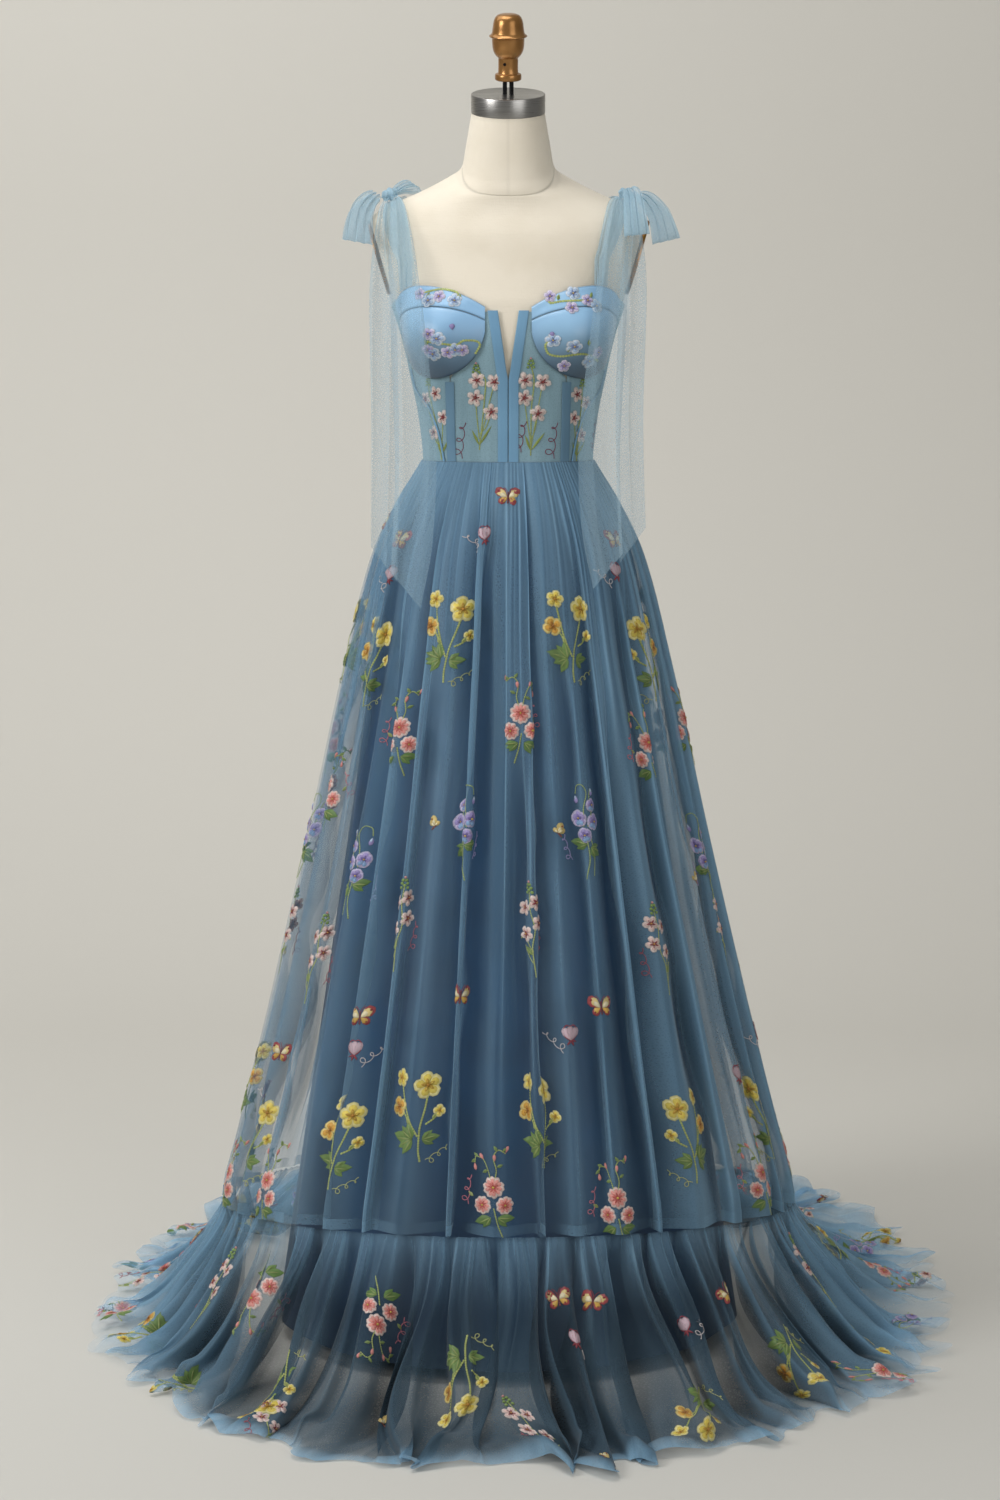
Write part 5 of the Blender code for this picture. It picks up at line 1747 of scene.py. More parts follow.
# ---------------------------------------------------------------- the skirt
@dataclass(frozen=True)
class Crease:
    """A trough that runs down a skirt: where it lies, how long, deep and wide it is.

    turn is in degrees from the centre front; start and end are shares of the way down.
    """

    turn: float
    start: float
    end: float
    depth: float
    half_width: float
    lean: float
    drift: float = 0.0


def spread_creases(seed: int, span: Row, spacing: float, depth: float, lean: float,
                   ends: Row = (0.1, 1.1), width: float = 0.51) -> list[Crease]:
    """Unevenly spaced creases for a stretch of cloth.

    Args:
        seed: Fixes the uneven sizes.
        span: The turns in degrees where the stretch starts and ends.
        spacing: The usual distance between creases, in degrees.
        depth: The usual depth.
        lean: The most that a crease leans.
        ends: The usual start, and the usual end.
        width: A crease's half width, as a share of its spacing.

    Returns:
        The creases.
    """
    rng = np.random.default_rng(seed)
    made, turn = [], span[0]
    while turn < span[1]:
        step = spacing * rng.uniform(0.66, 1.36)
        made.append(Crease(turn + step / 2, ends[0] * rng.uniform(-1.0, 2.2),
                           ends[1] * rng.uniform(0.75, 1.25), depth * rng.uniform(0.6, 1.25),
                           step * width * rng.uniform(0.85, 1.1),
                           lean * rng.uniform(0.45, 1) * rng.choice((-1, 1)),
                           spacing * rng.uniform(-0.25, 0.25)))
        turn += step
    return made


def apart(turn: Array, middle: Array | float) -> Array:
    """How many degrees a turn is past another, from -180 to 180."""
    return (turn - middle + 180) % 360 - 180


def net_cover(points: Array, base: Array, single: float, layers: Array | float = 1.0) -> Array:
    """How much net hides: more where it is doubled, or a fold turns its side to the viewer.

    Args:
        points: The folded grid of points.
        base: The same grid without its folds.
        single: What one layer hides when it is seen square on.
        layers: How many layers lie there.

    Returns:
        The cover at each point.
    """
    square = np.maximum(np.abs((facing(points) * facing(base)).sum(-1)), 0.55)
    return np.minimum(1 - (1 - single) ** (layers / square), 0.93)


@dataclass
class Tier:
    """A tier of cloth: turns in degrees in a row, and shares of the way down in a column."""

    columns: int
    shares: Array

    def __post_init__(self) -> None:
        """Lays out the grid of turns and shares."""
        self.turn = np.linspace(-180, 180, self.columns, endpoint=False)[None, :]
        self.share = self.shares[:, None]

    def creased(self, creases: Sequence[Crease]) -> tuple[Array, Array, Array]:
        """What creases do to the tier.

        Args:
            creases: The creases.

        Returns:
            Depth, as a share of the tier's fold depth; lean aside in degrees; and how far the
            net is doubled over along the creases' edges.
        """
        share = self.share
        depth, lean, edge = (np.zeros((len(share), self.columns)) for _ in range(3))
        for crease in creases:
            middle = crease.turn + crease.drift * (share - 0.5)
            away = apart(self.turn, middle) / crease.half_width
            run = faded(share, crease.start - 0.12, crease.start + 0.12)
            run = run * (1 - faded(share, crease.end - 0.1, crease.end + 0.14))
            bump = np.cos(np.clip(away, -1, 1) * math.pi / 2) ** 1.6 * run
            depth += crease.depth * bump
            lean += crease.lean * crease.half_width * bump
            steep = math.copysign(0.90, crease.lean)
            edge += run * (hump(away - steep, 0.10) + 0.4 * hump(away + steep, 0.14))
        return depth, lean, edge

    def _numbered(self, count: int, seed: int, wander: Row) -> tuple[Array, Array]:
        """Which of some uneven folds each turn is in.

        Args:
            count: How many folds there are all round.
            seed: Shifts the unevenness.
            wander: How far a long and a short wave push the folds, each followed by its
                number of waves all round, and then the short wave's share of the seed.

        Returns:
            The fold's number, and how far across it the turn is, from 0 to 1.
        """
        near, waves, painted_gradient, more, shift = wander
        uneven = self.turn + 360 / count * (
            near * np.sin(np.radians(self.turn * waves + seed))
            + painted_gradient * np.sin(np.radians(self.turn * more + shift * seed)))
        place = (uneven % 360) / 360 * count
        return place.astype(int) % count, place - np.floor(place)

    def pleats(self, count: int, seed: int, length: Row, start: Row = (0.0, 0.0)) -> Array:
        """Fine gathers side by side, each with its own depth, length and steep side.

        Args:
            count: How many there are all round.
            seed: Fixes the uneven sizes.
            length: The shortest and longest, as shares of the way down.
            start: The first and last place where one starts.

        Returns:
            Depth from 0 to 1, and then how far the net is doubled along its edge.
        """
        rng, share = np.random.default_rng(seed), self.share
        deep, begin = rng.uniform(0.15, 1.0, count), rng.uniform(*start, count)
        run, turned = rng.uniform(*length, count), rng.random(count) < 0.5
        k, part = self._numbered(count, seed, (0.9, 5, 0.6, 11, 3))
        part = np.where(turned[k], 1 - part, part)
        rise = 1.0 if start[1] == 0 else faded(share, begin[k] - 0.08, begin[k] + 0.08)
        fall = 1 - faded(share, begin[k] + run[k] * 0.3, begin[k] + run[k])
        strength = deep[k] * rise * fall
        return np.stack([np.sin(math.pi * part ** 0.6) ** 1.4 * strength,
                         hump(part - 0.12, 0.13) * strength])

    def panels(self, count: int, seed: int, length: Row, start: Row) -> Array:
        """Flat folds that lie over the net beside them, each with its own width and length.

        Args:
            count: How many there are all round.
            seed: Fixes the uneven sizes.
            length: The shortest and longest, as shares of the way down.
            start: The first and last place where one starts.

        Returns:
            Whether a place is in a fold, from 0 to 1, and then whether it is on its edge.
        """
        rng, share = np.random.default_rng(seed), self.share
        wide, begin = rng.uniform(0.25, 0.85, count), rng.uniform(*start, count)
        run, weight = rng.uniform(*length, count), rng.uniform(0.35, 1.0, count)
        bend = rng.uniform(-0.22, 0.22, count)
        k, part = self._numbered(count, seed, (1.1, 4, 0.5, 13, 2))
        part = part + bend[k] * np.sin(math.pi * share) * 0.5
        strength = weight[k] * faded(share, begin[k] - 0.05, begin[k] + 0.10)
        strength = strength * (1 - faded(share, begin[k] + run[k] * 0.7, begin[k] + run[k]))
        side = wide[k] * (0.75 + 0.25 * share)
        inside = faded(part, 0.10, 0.14) * (1 - faded(part, 0.10 + side - 0.05, 0.10 + side))
        line = hump(part - 0.12, 0.035) + 0.6 * hump(part - 0.08 - side, 0.045)
        return np.stack([inside * strength, line * strength])

    def rippled(self, seed: int, count: int, across: tuple[int, int],
                along: Row | None = None) -> Array:
        """Uneven ripples that cross each other, mostly between -1.5 and 1.5.

        Args:
            seed: Fixes the ripples.
            count: How many there are.
            across: The fewest and most waves all round.
            along: The fewest and most radians down, or None where they run straight down.

        Returns:
            A grid of heights, or a single row where they run straight down.
        """
        rng = np.random.default_rng(seed)
        down, along = (self.share, along) if along else (0.0, (0.0, 1.0))
        made = np.zeros(np.broadcast(self.turn, down).shape)
        for _ in range(count):
            slope = rng.uniform(*along) * rng.choice((-1, 1))
            made += np.sin(np.radians(self.turn * rng.integers(*across)) + down * slope
                           + rng.uniform(0, math.tau))
        return made * math.sqrt(2 / count)


@dataclass
class Skirt:
    """The gathered tulle overlay, its ruffle, and the opaque lining under them.

    Each ring of the overlay is share of the way down, side, front, back, roundness, depth of
    the folds, and layers of net. A ruffle row is the way down, spread towards the hem, rise,
    fold depth, lift and layers. A tier's places are turns and heights, or turns, ways down
    and leans in degrees.
    """

    rings: Table = (
        (0.000, 0.1120, 0.0910, 0.0890, 2.3, 0.0006, 5.2),
        (0.050, 0.1400, 0.1210, 0.1240, 2.2, 0.0040, 4.2),
        (0.125, 0.1750, 0.1520, 0.1600, 2.1, 0.0090, 3.0),
        (0.270, 0.2120, 0.1900, 0.2080, 2.0, 0.0180, 2.2),
        (0.500, 0.2620, 0.2430, 0.2830, 2.0, 0.0290, 1.45),
        (0.770, 0.3250, 0.3050, 0.3750, 2.0, 0.0350, 0.85),
        (1.000, 0.3830, 0.3620, 0.4700, 2.0, 0.0260, 0.80))
    seam_side: float = 0.1650
    seam_front_rise: float = 0.0480
    seam_band: float = 0.0140
    columns: int = 1152
    rows: int = 68
    net_single: float = 0.20
    front_creases: Table = (
        (-84, 0.10, 1.1, 0.9, 6.5, -0.7), (-72, 0.05, 1.2, 1.1, 5.0, 0.9, 1.0),
        (-61, 0.22, 1.2, 0.8, 4.6, 0.8), (-50.5, 0.02, 0.9, 1.1, 4.4, -0.9, -1.5),
        (-41, 0.28, 1.2, 0.9, 4.0, 0.9), (-32.5, 0.08, 1.2, 1.2, 3.8, 1.0, 1.0),
        (-24, 0.34, 1.0, 0.8, 3.8, -0.8), (-15.5, 0.06, 1.2, 1.0, 3.6, 0.9),
        (-6, 0.03, 1.2, 1.35, 4.6, -1.0, -2.0), (3, 0.42, 1.2, 0.8, 3.6, 0.7),
        (10.5, -0.05, 1.1, 1.15, 3.2, -1.0), (18, 0.26, 1.2, 0.8, 3.8, 0.9),
        (26.5, 0.12, 1.2, 1.1, 4.0, 0.9, 1.0), (35, 0.40, 1.2, 0.9, 3.8, -0.9),
        (44, 0.08, 1.0, 1.0, 4.2, 0.9), (54, 0.20, 1.2, 1.1, 4.6, -0.9, 1.5),
        (65, 0.06, 1.2, 0.9, 5.0, 0.8), (77, 0.14, 1.2, 1.1, 5.6, 0.8))
    ruffle_rows: Table = (
        (0.00, 0.000, 1.000, 0.003, 0.000, 2.6), (0.05, 0.035, 0.935, 0.012, 0.000, 1.5),
        (0.16, 0.130, 0.780, 0.028, 0.000, 0.95), (0.32, 0.280, 0.570, 0.040, 0.001, 1.00),
        (0.48, 0.440, 0.360, 0.044, 0.002, 2.20), (0.62, 0.590, 0.190, 0.040, 0.007, 3.20),
        (0.76, 0.740, 0.060, 0.032, 0.015, 3.00), (0.90, 0.890, 0.008, 0.022, 0.016, 2.20),
        (1.00, 1.000, 0.000, 0.010, 0.010, 1.30))
    ruffle_columns: int = 1800
    ruffle_grid_rows: int = 50
    hem: Table = (
        (-0.010, -0.570), (0.059, -0.600), (0.120, -0.600), (0.176, -0.570), (0.225, -0.536),
        (0.321, -0.501), (0.390, -0.412), (0.485, -0.330), (0.536, -0.220), (0.575, -0.090),
        (0.598, 0.036), (0.605, 0.129), (0.600, 0.225), (0.585, 0.350), (0.548, 0.470),
        (0.480, 0.640), (0.370, 0.780), (0.220, 0.880), (0.060, 0.915), (-0.100, 0.910),
        (-0.230, 0.860), (-0.340, 0.750), (-0.420, 0.610), (-0.471, 0.450), (-0.530, 0.290),
        (-0.540, 0.129), (-0.555, 0.020), (-0.548, -0.080), (-0.520, -0.180), (-0.455, -0.300),
        (-0.370, -0.440), (-0.280, -0.515), (-0.190, -0.580), (-0.110, -0.588))
    floor_clearance: float = 0.0014
    lining_rings: Table = (
        (WAIST - SEAM_GAP, 0.1092, 0.0882, 0.0862, 2.3), (1.090, 0.1350, 0.1130, 0.1150, 2.2),
        (0.970, 0.1690, 0.1420, 0.1530, 2.2), (0.800, 0.1900, 0.1680, 0.1850, 2.0),
        (0.500, 0.2350, 0.2150, 0.2500, 2.0), (0.020, 0.3080, 0.2920, 0.3600, 2.0))
    visible: Sequence[tuple[Spray, Table]] = (
        (Spray.BUTTERFLY, ((-0.1, 1.102), (-52.4, 1.046), (52.9, 1.046), (19.4, 0.480),
                           (-34.0, 0.461), (-61.0, 0.393), (-8.9, 0.496))),
        (Spray.MOTH, ((61.6, 0.615), (-20.2, 0.700), (12.1, 0.693))),
        (Spray.BUD, ((-5.9, 1.056), (-52.8, 1.003), (44.9, 1.008), (16.1, 0.449),
                     (59.7, 0.369), (-71.5, 0.339), (-36.1, 0.421))),
        (Spray.BUTTERCUP, ((-22.0, 0.933), (22.5, 0.933), (-56.9, 0.895), (63.0, 0.900),
                           (-40.3, 0.308), (-15.9, 0.354), (8.9, 0.350), (40.6, 0.314))),
        (Spray.DAISY, ((-34.9, 0.808), (4.3, 0.830), (44.9, 0.786), (-67.3, 0.726),
                       (-3.7, 0.263), (21.5, 0.245))),
        (Spray.VIOLET, ((-12.6, 0.696), (20.8, 0.695), (-43.7, 0.637), (70.0, 0.640))),
        (Spray.BLOSSOM, ((-28.1, 0.577), (5.3, 0.576), (-53.1, 0.520), (40.2, 0.541))))
    hidden: Sequence[tuple[Spray, float, Sequence[float]]] = (
        (Spray.BUTTERFLY, 1.070, (94, 150, -150, -98)), (Spray.BUD, 1.010, (112, 168, -128)),
        (Spray.BUTTERCUP, 0.915, (98, 132, 166, -160, -124, -92)),
        (Spray.DAISY, 0.790, (82, 116, 150, -174, -142, -106)),
        (Spray.VIOLET, 0.665, (102, 134, 168, -156, -122, -86)),
        (Spray.BLOSSOM, 0.550, (74, 106, 140, 172, -150, -116, -84)),
        (Spray.MOTH, 0.480, (90, 156, -134, -98)), (Spray.BUD, 0.400, (86, 120, 150, -164, -118)),
        (Spray.BUTTERCUP, 0.300, (72, 104, 136, 166, -158, -126, -96, -70)),
        (Spray.DAISY, 0.225, (56, 88, 120, 152, -172, -142, -110, -80, -50)))
    ruffle_sprays: Sequence[tuple[Spray, float, float, float]] = (
        (Spray.DAISY, -48, 0.30, 190), (Spray.DAISY, -20, 0.30, 185),
        (Spray.BUTTERFLY, 9, 0.22, 10), (Spray.BUTTERFLY, 14, 0.24, -20),
        (Spray.BUTTERFLY, 43, 0.27, 30), (Spray.BUD, 12, 0.36, 0), (Spray.BUD, 27, 0.36, 15),
        (Spray.BUTTERCUP, 46, 0.60, 160), (Spray.BUTTERCUP, 66, 0.60, 200),
        (Spray.BUTTERCUP, -8, 0.52, 175), (Spray.BUTTERCUP, -75, 0.70, 120),
        (Spray.DAISY, -85, 0.84, 90), (Spray.BUTTERCUP, -36, 0.66, 190),
        (Spray.BLOSSOM, 2, 0.78, 20), (Spray.MOTH, 10, 0.90, 0), (Spray.BUTTERCUP, 27, 0.74, 150),
        (Spray.VIOLET, 84, 0.78, 90), (Spray.DAISY, 58, 0.84, 60), (Spray.BLOSSOM, -60, 0.34, 5),
        (Spray.BLOSSOM, 68, 0.30, -5), (Spray.BLOSSOM, -30, 0.86, 30),
        (Spray.BUTTERCUP, -56, 0.86, 100), (Spray.MOTH, -18, 0.66, 0))
    calm_reach: Row = (7.5, 0.062)
    search_deg: float = 3.0

    def __post_init__(self) -> None:
        """Places the motifs that are out of sight, and the rows of the overlay."""
        rng = np.random.default_rng(6)
        self.sprays = [(kind, *spot) for kind, spots in self.visible for spot in spots]
        for kind, height, turns in self.hidden:
            self.sprays += [(kind, turn + rng.uniform(-3, 3), height + rng.uniform(-0.02, 0.02))
                            for turn in turns if not (102 < abs(turn) < 128 and height < 0.7)]
        self.top = WAIST - SEAM_GAP
        band = self.seam_band / (self.top - self.seam_side)
        body = np.linspace(0, 1, self.rows - 4) ** 1.12 * (1 - band)
        self.shares = np.concatenate([body, 1 - band * np.array((0.94, 0.5, 0.08, 0.0))])

    def _share(self, turn: float, height: float) -> float:
        """How far down the overlay a height is."""
        return (self.top - height) / (self.top - self.seam_height(turn))

    def _spot(self, depth: Array, row: float, turn: float) -> tuple[float, float]:
        """The row, and the column nearest a turn where the cloth stands out of its troughs.

        Args:
            depth: The tier's fold depth at each point.
            row: The row.
            turn: The turn in degrees.

        Returns:
            The row and the column.
        """
        count, search, margin = depth.shape[1], self.search_deg, 12
        spots = np.linspace(turn - search, turn + search, 41)
        column = (spots + 180) / 360 * count
        found = np.interp(column, np.arange(count), depth[int(row)], period=count)
        best = int(np.argmin(found + 0.25 * np.abs(spots - turn) / search))
        return row, float(np.clip(column[best] % count, margin, count - margin))

    def _sewn(self, name: str, work: Needlework, places: Table, shell: Shell) -> Object:
        """A tier's needlework, each motif laid round its own place.

        Args:
            name: The piece's name.
            work: The needlework.
            places: The row and column of each motif.
            shell: The tier.

        Returns:
            The embroidery.
        """
        def lay(flat: Array, lift: Array, spray: Array) -> Array:
            """Lays each motif's points."""
            made = np.zeros((len(flat), 3))
            for number, place in enumerate(places):
                mine = spray == number
                made[mine] = shell.carry(*place, flat[mine], lift[mine])
            return made
        return work.piece(name, lay)

    def _overlay_needlework(self, depth: Array, shell: Shell) -> Object:
        """The rows of motifs on the overlay."""
        work, places, rng = Needlework(seed=8), [], np.random.default_rng(12)
        for number, (kind, turn, height) in enumerate(self.sprays):
            share = np.clip(self._share(turn, height), 0.01, 0.97)
            row = float(np.interp(share, self.shares, np.arange(self.rows)))
            places.append(self._spot(depth, row, turn))
            work.start(number, lean=rng.uniform(-6, 6), mirror=rng.random() >= 0.6)
            work.motif(kind)
        return self._sewn("embroidery_skirt", work, places, shell)

    def _ruffle_needlework(self, depth: Array, shell: Shell) -> Object:
        """The scattered motifs on the ruffle."""
        work, places, rng = Needlework(seed=9), [], np.random.default_rng(14)
        kinds = (Spray.BUTTERCUP, Spray.DAISY, Spray.BLOSSOM, Spray.BUTTERFLY, Spray.VIOLET)
        behind, downs = 34, (0.28, 0.62, 0.86)
        spots = [*self.ruffle_sprays, *(
            (kinds[k % 5], apart(92 + 176 * (k + 0.5) / behind, 0), downs[k % 3],
             float(rng.uniform(0, 360))) for k in range(behind))]
        for number, (kind, turn, down, lean) in enumerate(spots):
            places.append(self._spot(depth, (self.ruffle_grid_rows - 1) * down, turn))
            work.start(number, lean=lean)
            work.motif(kind)
        return self._sewn("embroidery_ruffle", work, places, shell)

    def seam_height(self, turn: Array) -> Array:
        """The tier seam's height, highest at the front; turn is in degrees."""
        return self.seam_side + self.seam_front_rise * np.cos(np.radians(turn))

    def _ring(self, turn: Array, share: Array, drawn: Array | float = 0.0,
              aside: Array | float = 0.0) -> Array:
        """Points of the overlay, without folds or with them.

        Args:
            turn: Turns in degrees from the centre front.
            share: Shares of the way down.
            drawn: How far each point is drawn in, in metres.
            aside: How far each point leans aside, in degrees.

        Returns:
            The points.
        """
        side, front, back, roundness, _, _ = read(self.rings, share)
        flat = oval(np.radians(turn + aside) + FRONT, side, front, back, roundness)
        reach = np.linalg.norm(flat, axis=-1, keepdims=True)
        flat = flat * (1 - np.broadcast_to(drawn, flat.shape[:-1])[..., None] / reach)
        z = self.top + (self.seam_height(turn) - self.top) * share
        return stacked(flat[..., 0], flat[..., 1], z)

    def _calmed(self, turn: Array, share: Array) -> Array:
        """The folds' strength, which is less round each embroidered spray."""
        made = np.ones(np.broadcast(turn, share).shape)
        for kind, at, height in self.sprays:
            size = 0.7 if kind in (Spray.BUTTERFLY, Spray.MOTH, Spray.BUD) else 1.0
            away = apart(turn, at) / (self.calm_reach[0] * size)
            painted_gradient = away ** 2 + ((share - self._share(at, height)) / self.calm_reach[1] / size) ** 2
            made *= 1 - 0.62 * np.exp(-painted_gradient)
        return made

    def _net(self, points: Array, base: Array, layers: Array, shade: Array) -> Shell:
        """A tier of net, on which needlework follows the folds only in part.

        Args:
            points: Its grid of points.
            base: The same grid without its folds.
            layers: How many layers of net lie at each point.
            shade: How light the net is at each point.

        Returns:
            The tier.
        """
        shell = Shell(points, True, net_cover(points, base, self.net_single, layers), base, shade)
        shell.laid = 0.85 * shell.across + 0.15 * shell.laid
        return shell

    def build_overlay(self) -> None:
        """The embroidered overlay, from the waist to the tier seam."""
        tier = Tier(self.columns, self.shares)
        turn, share = tier.turn, tier.share
        hidden = spread_creases(11, (84, 276), 10.5, 1.0, 0.9, width=0.42)
        depth, lean, edge = tier.creased([*(Crease(*row) for row in self.front_creases), *hidden])
        calm = self._calmed(turn, share)
        fold, layers = read(self.rings, share)[4:]
        long = tier.pleats(84, 3, (0.45, 1.35)) * faded(share, -0.02, 0.10)
        mid = tier.pleats(150, 8, (0.25, 0.8), (0.0, 0.8)) * faded(share, 0.0, 0.12)
        fine = tier.pleats(170, 5, (0.10, 0.50)) * faded(share, -0.06, 0.03)
        drawn = (depth * fold + 0.0075 * long[0] + 0.0026 * mid[0]) * calm + 0.0019 * fine[0]
        drawn += 0.0035 * faded(share, 0.975, 1.0) - 0.0030 * faded(share, 0.0, 0.06)
        base = self._ring(turn, share)
        aside = (lean + 1.5 * (long[0] - 0.4) * faded(share, 0.02, 0.2)) * calm
        aside += 0.8 * tier.rippled(37, 9, (4, 22), (1.0, 5.0)) * share
        points = self._ring(turn, share, drawn, aside)
        inside, line = tier.panels(46, 12, (0.5, 1.6), (0.0, 0.7))
        to_left = np.sin(np.radians(turn))
        sheer = 1 - 0.66 * np.clip(-to_left, 0, 1) ** 2.5 * faded(share, 0.02, 0.15) * (
            1 - 0.9 * faded(share, 0.5, 0.95))
        sheer += 1.5 * np.clip(to_left, 0, 1) ** 2 * faded(share, 0.15, 0.6)
        inner = hump(np.abs(turn) - 50, 20) * faded(share, 0.45, 0.85)
        patches = np.clip(0.75 + 0.5 * tier.rippled(59, 8, (6, 26), (1.0, 5.0)), 0.15, 1.6)
        thin = (1 - 0.4 * faded(share, 0.1, 0.8)) * patches * (
            1 - 0.45 * np.abs(to_left) ** 3 * faded(share, 0.15, 0.5))
        cloud = 1 + 0.22 * tier.rippled(67, 7, (5, 20), (0.5, 3.5)) * faded(share, 0.1, 0.4)
        lines = 2.2 * edge + 1.9 * long[1] + 1.1 * mid[1] + 2.0 * line
        layers = layers * (1 - 0.6 * np.clip(depth, 0, 1) * faded(share, 0.0, 0.35) * (
            1 - 0.6 * to_left ** 2))
        layers = layers + (lines * (0.35 + 0.65 * calm) + 1.3 * inside) * thin
        layers = (layers + 1.0 * fine[1] + 0.8 * inner) * sheer * np.clip(cloud, 0.5, 1.6)
        band = faded(share, self.shares[-5], self.shares[-4])
        puffs = np.clip(0.6 + 0.5 * tier.rippled(71, 8, (20, 90)), 0, 1.4)
        layers = layers + 1.7 * band * puffs
        # painted shade: darker in the creases' troughs, most where the folds are deep, along the fine
        # gathers, and a little darker down the skirt
        sunk = (0.3 + 0.7 * fold / fold.max()) * faded(share, 0.01, 0.12)
        shade = 1 - 0.6 * np.clip(depth, 0, 1.2) * sunk - 0.16 * fine[0] - 0.12 * share
        shell = self._net(points, base, layers, shade)
        shell.piece("skirt_overlay", OVERLAY_NET, True, "gathered", ["skirt_lining"],
                    [self._overlay_needlework(depth, shell)],
                    [f"skirt_gore_{k}" for k in range(1, 7)])

    def _hem_reach(self, turn: Array) -> Array:
        """How far out the hem lies on the floor, at each turn in degrees."""
        spots = np.array(self.hem)
        at = apart(np.degrees(np.arctan2(spots[:, 1], spots[:, 0]) - FRONT), 0)
        order = np.argsort(at)
        at, reach = at[order], np.linalg.norm(spots, axis=1)[order]
        at = np.concatenate([at[-2:] - 360, at, at[:2] + 360])
        return eased(turn, at, np.concatenate([reach[-2:], reach, reach[:2]]))

    def build_ruffle(self) -> None:
        """The gathered ruffle, which falls to the floor and lies out on it."""
        tier = Tier(self.ruffle_columns, np.linspace(0, 1, self.ruffle_grid_rows))
        turn, down = tier.turn, tier.share
        depth, lean, edge = tier.creased(
            spread_creases(23, (-180, 180), 8.4, 1.05, 1.3, (0.02, 1.7), 0.29))
        small_depth, small_lean, small_edge = tier.creased(
            spread_creases(29, (-180, 180), 5.2, 0.30, 1.0, (0.25, 1.3), 0.36))
        gathers = tier.pleats(230, 4, (0.12, 0.55)) * faded(down, -0.04, 0.02)
        runs = tier.pleats(120, 9, (0.4, 1.5)) * faded(down, -0.02, 0.10)
        crumple = tier.pleats(150, 17, (0.3, 0.6), (0.5, 0.9))
        spread, rise, fold, lift, layers = read(self.ruffle_rows, down)
        aside = turn + (lean + small_lean) * (0.4 + 0.6 * down) * (
            1 - 0.35 * faded(down, 0.75, 1.0))
        aside = aside + 1.5 * tier.rippled(41, 9, (5, 28), (2.0, 8.0)) * down
        strength = np.clip(1 + 0.4 * tier.rippled(61, 6, (3, 15), (0.5, 3.0)), 0.3, 1.7)
        both, edge = (depth + small_depth) * strength, edge * strength
        uneven = 0.017 * tier.rippled(47, 7, (11, 64)) - 0.022 * both * down ** 2

        def laid(turn: Array) -> Array:
            """The crests of the folds, from the tier seam out to the hem."""
            start = self._ring(turn, np.ones_like(down), 0.0035)[..., :2]
            way = stacked(np.sin(np.radians(turn)), -np.cos(np.radians(turn)))
            hem = self._hem_reach(turn)[..., None] * way * (1 + uneven)[..., None]
            flat = start + (hem - start) * spread[..., None]
            z = (self.seam_height(turn) - 0.0007) * rise + lift
            return stacked(flat[..., 0], flat[..., 1], z)

        base, on_floor = laid(turn + 0 * down), faded(down, 0.58, 0.82)
        to_side = np.sin(np.radians(turn)) ** 2
        size = fold * both + 0.0034 * gathers[0] + 0.0042 * runs[0] + 0.005 * crumple[0]
        size = size + 0.0042 * (tier.rippled(43, 16, (18, 84), (8.0, 30.0)) * on_floor)
        size = size * (1 - 0.4 * to_side * on_floor)
        points = laid(aside) + facing(base) * size[..., None]
        points[..., 2] = np.maximum(points[..., 2], self.floor_clearance + 0.004 * crumple[0])
        inside, line = tier.panels(64, 21, (0.6, 1.8), (-0.1, 0.4))
        front, rear = hump(turn, 64, 4), hump(180 - np.abs(turn), 60, 4)
        doubled = faded(tier.rippled(53, 9, (7, 34), (3.0, 12.0)), 0.25, 0.42) * on_floor
        layers = layers + 1.2 * (front + rear) * faded(down, 0.3, 0.6) + 1.5 * doubled
        layers = layers * (1 - 0.5 * np.clip(depth, 0, 1) * (1 - on_floor))
        layers = layers + 2.0 * edge + 1.0 * small_edge + 1.3 * gathers[1] + 1.0 * runs[1]
        layers = layers + 0.9 * crumple[1] + 1.2 * inside + 1.8 * line
        layers = layers * (1 - 0.80 * to_side * on_floor)
        # painted shade in the folds' troughs above the floor, a painted shadow line just under the
        # tier seam, and painted shadow at the front where the skirt stands over the floor; painted
        # light on the side lobes that lie on the floor
        shade = 1 - 0.7 * np.clip(both, 0, 1.1) * (1 - on_floor)
        shade = shade - 0.45 * (1 - faded(down, 0.0, 0.03))
        shade = shade * (1 - 0.76 * front * faded(down, 0.0, 0.3) * (1 - faded(down, 0.88, 1)))
        shell = self._net(points, base, layers, shade * (1 + 0.5 * to_side * on_floor))
        shell.piece("skirt_ruffle", OVERLAY_NET, True, "gathered",
                    ["skirt_overlay", "studio_floor"], [self._ruffle_needlework(depth, shell)],
                    [f"ruffle_{k}" for k in range(1, 7)])

    def build_lining(self) -> None:
        """The opaque lining, a plain flared tube with a few soft folds, with painted shade low down
        and in its folds.
        """
        rings = self.lining_rings[::-1]
        low, top = rings[0][0], rings[-1][0]
        height = np.linspace(top, low, 60)
        tier = Tier(360, (top - height) / (top - low))
        height, share = height[:, None], tier.share
        depth, lean, _ = tier.creased(spread_creases(31, (-180, 180), 24.0, 1.0, 0.3))
        flat = oval(np.radians(tier.turn + lean * 0.4) + FRONT, *read(rings, height))
        flat *= 1 - (0.007 * depth * share)[..., None] / np.linalg.norm(
            flat, axis=-1, keepdims=True)
        # painted shade: darker towards the hem and in the folds' troughs
        shade = 1 - 0.45 * faded(share, 0.72, 0.95) - 0.30 * depth * share
        Shell(stacked(flat[..., 0], flat[..., 1], height), True, shade=shade).piece(
            "skirt_lining", LINING_SATIN, True, "hung", ["form_skin"],
            nodes=[f"lining_gore_{k}" for k in range(1, 5)])


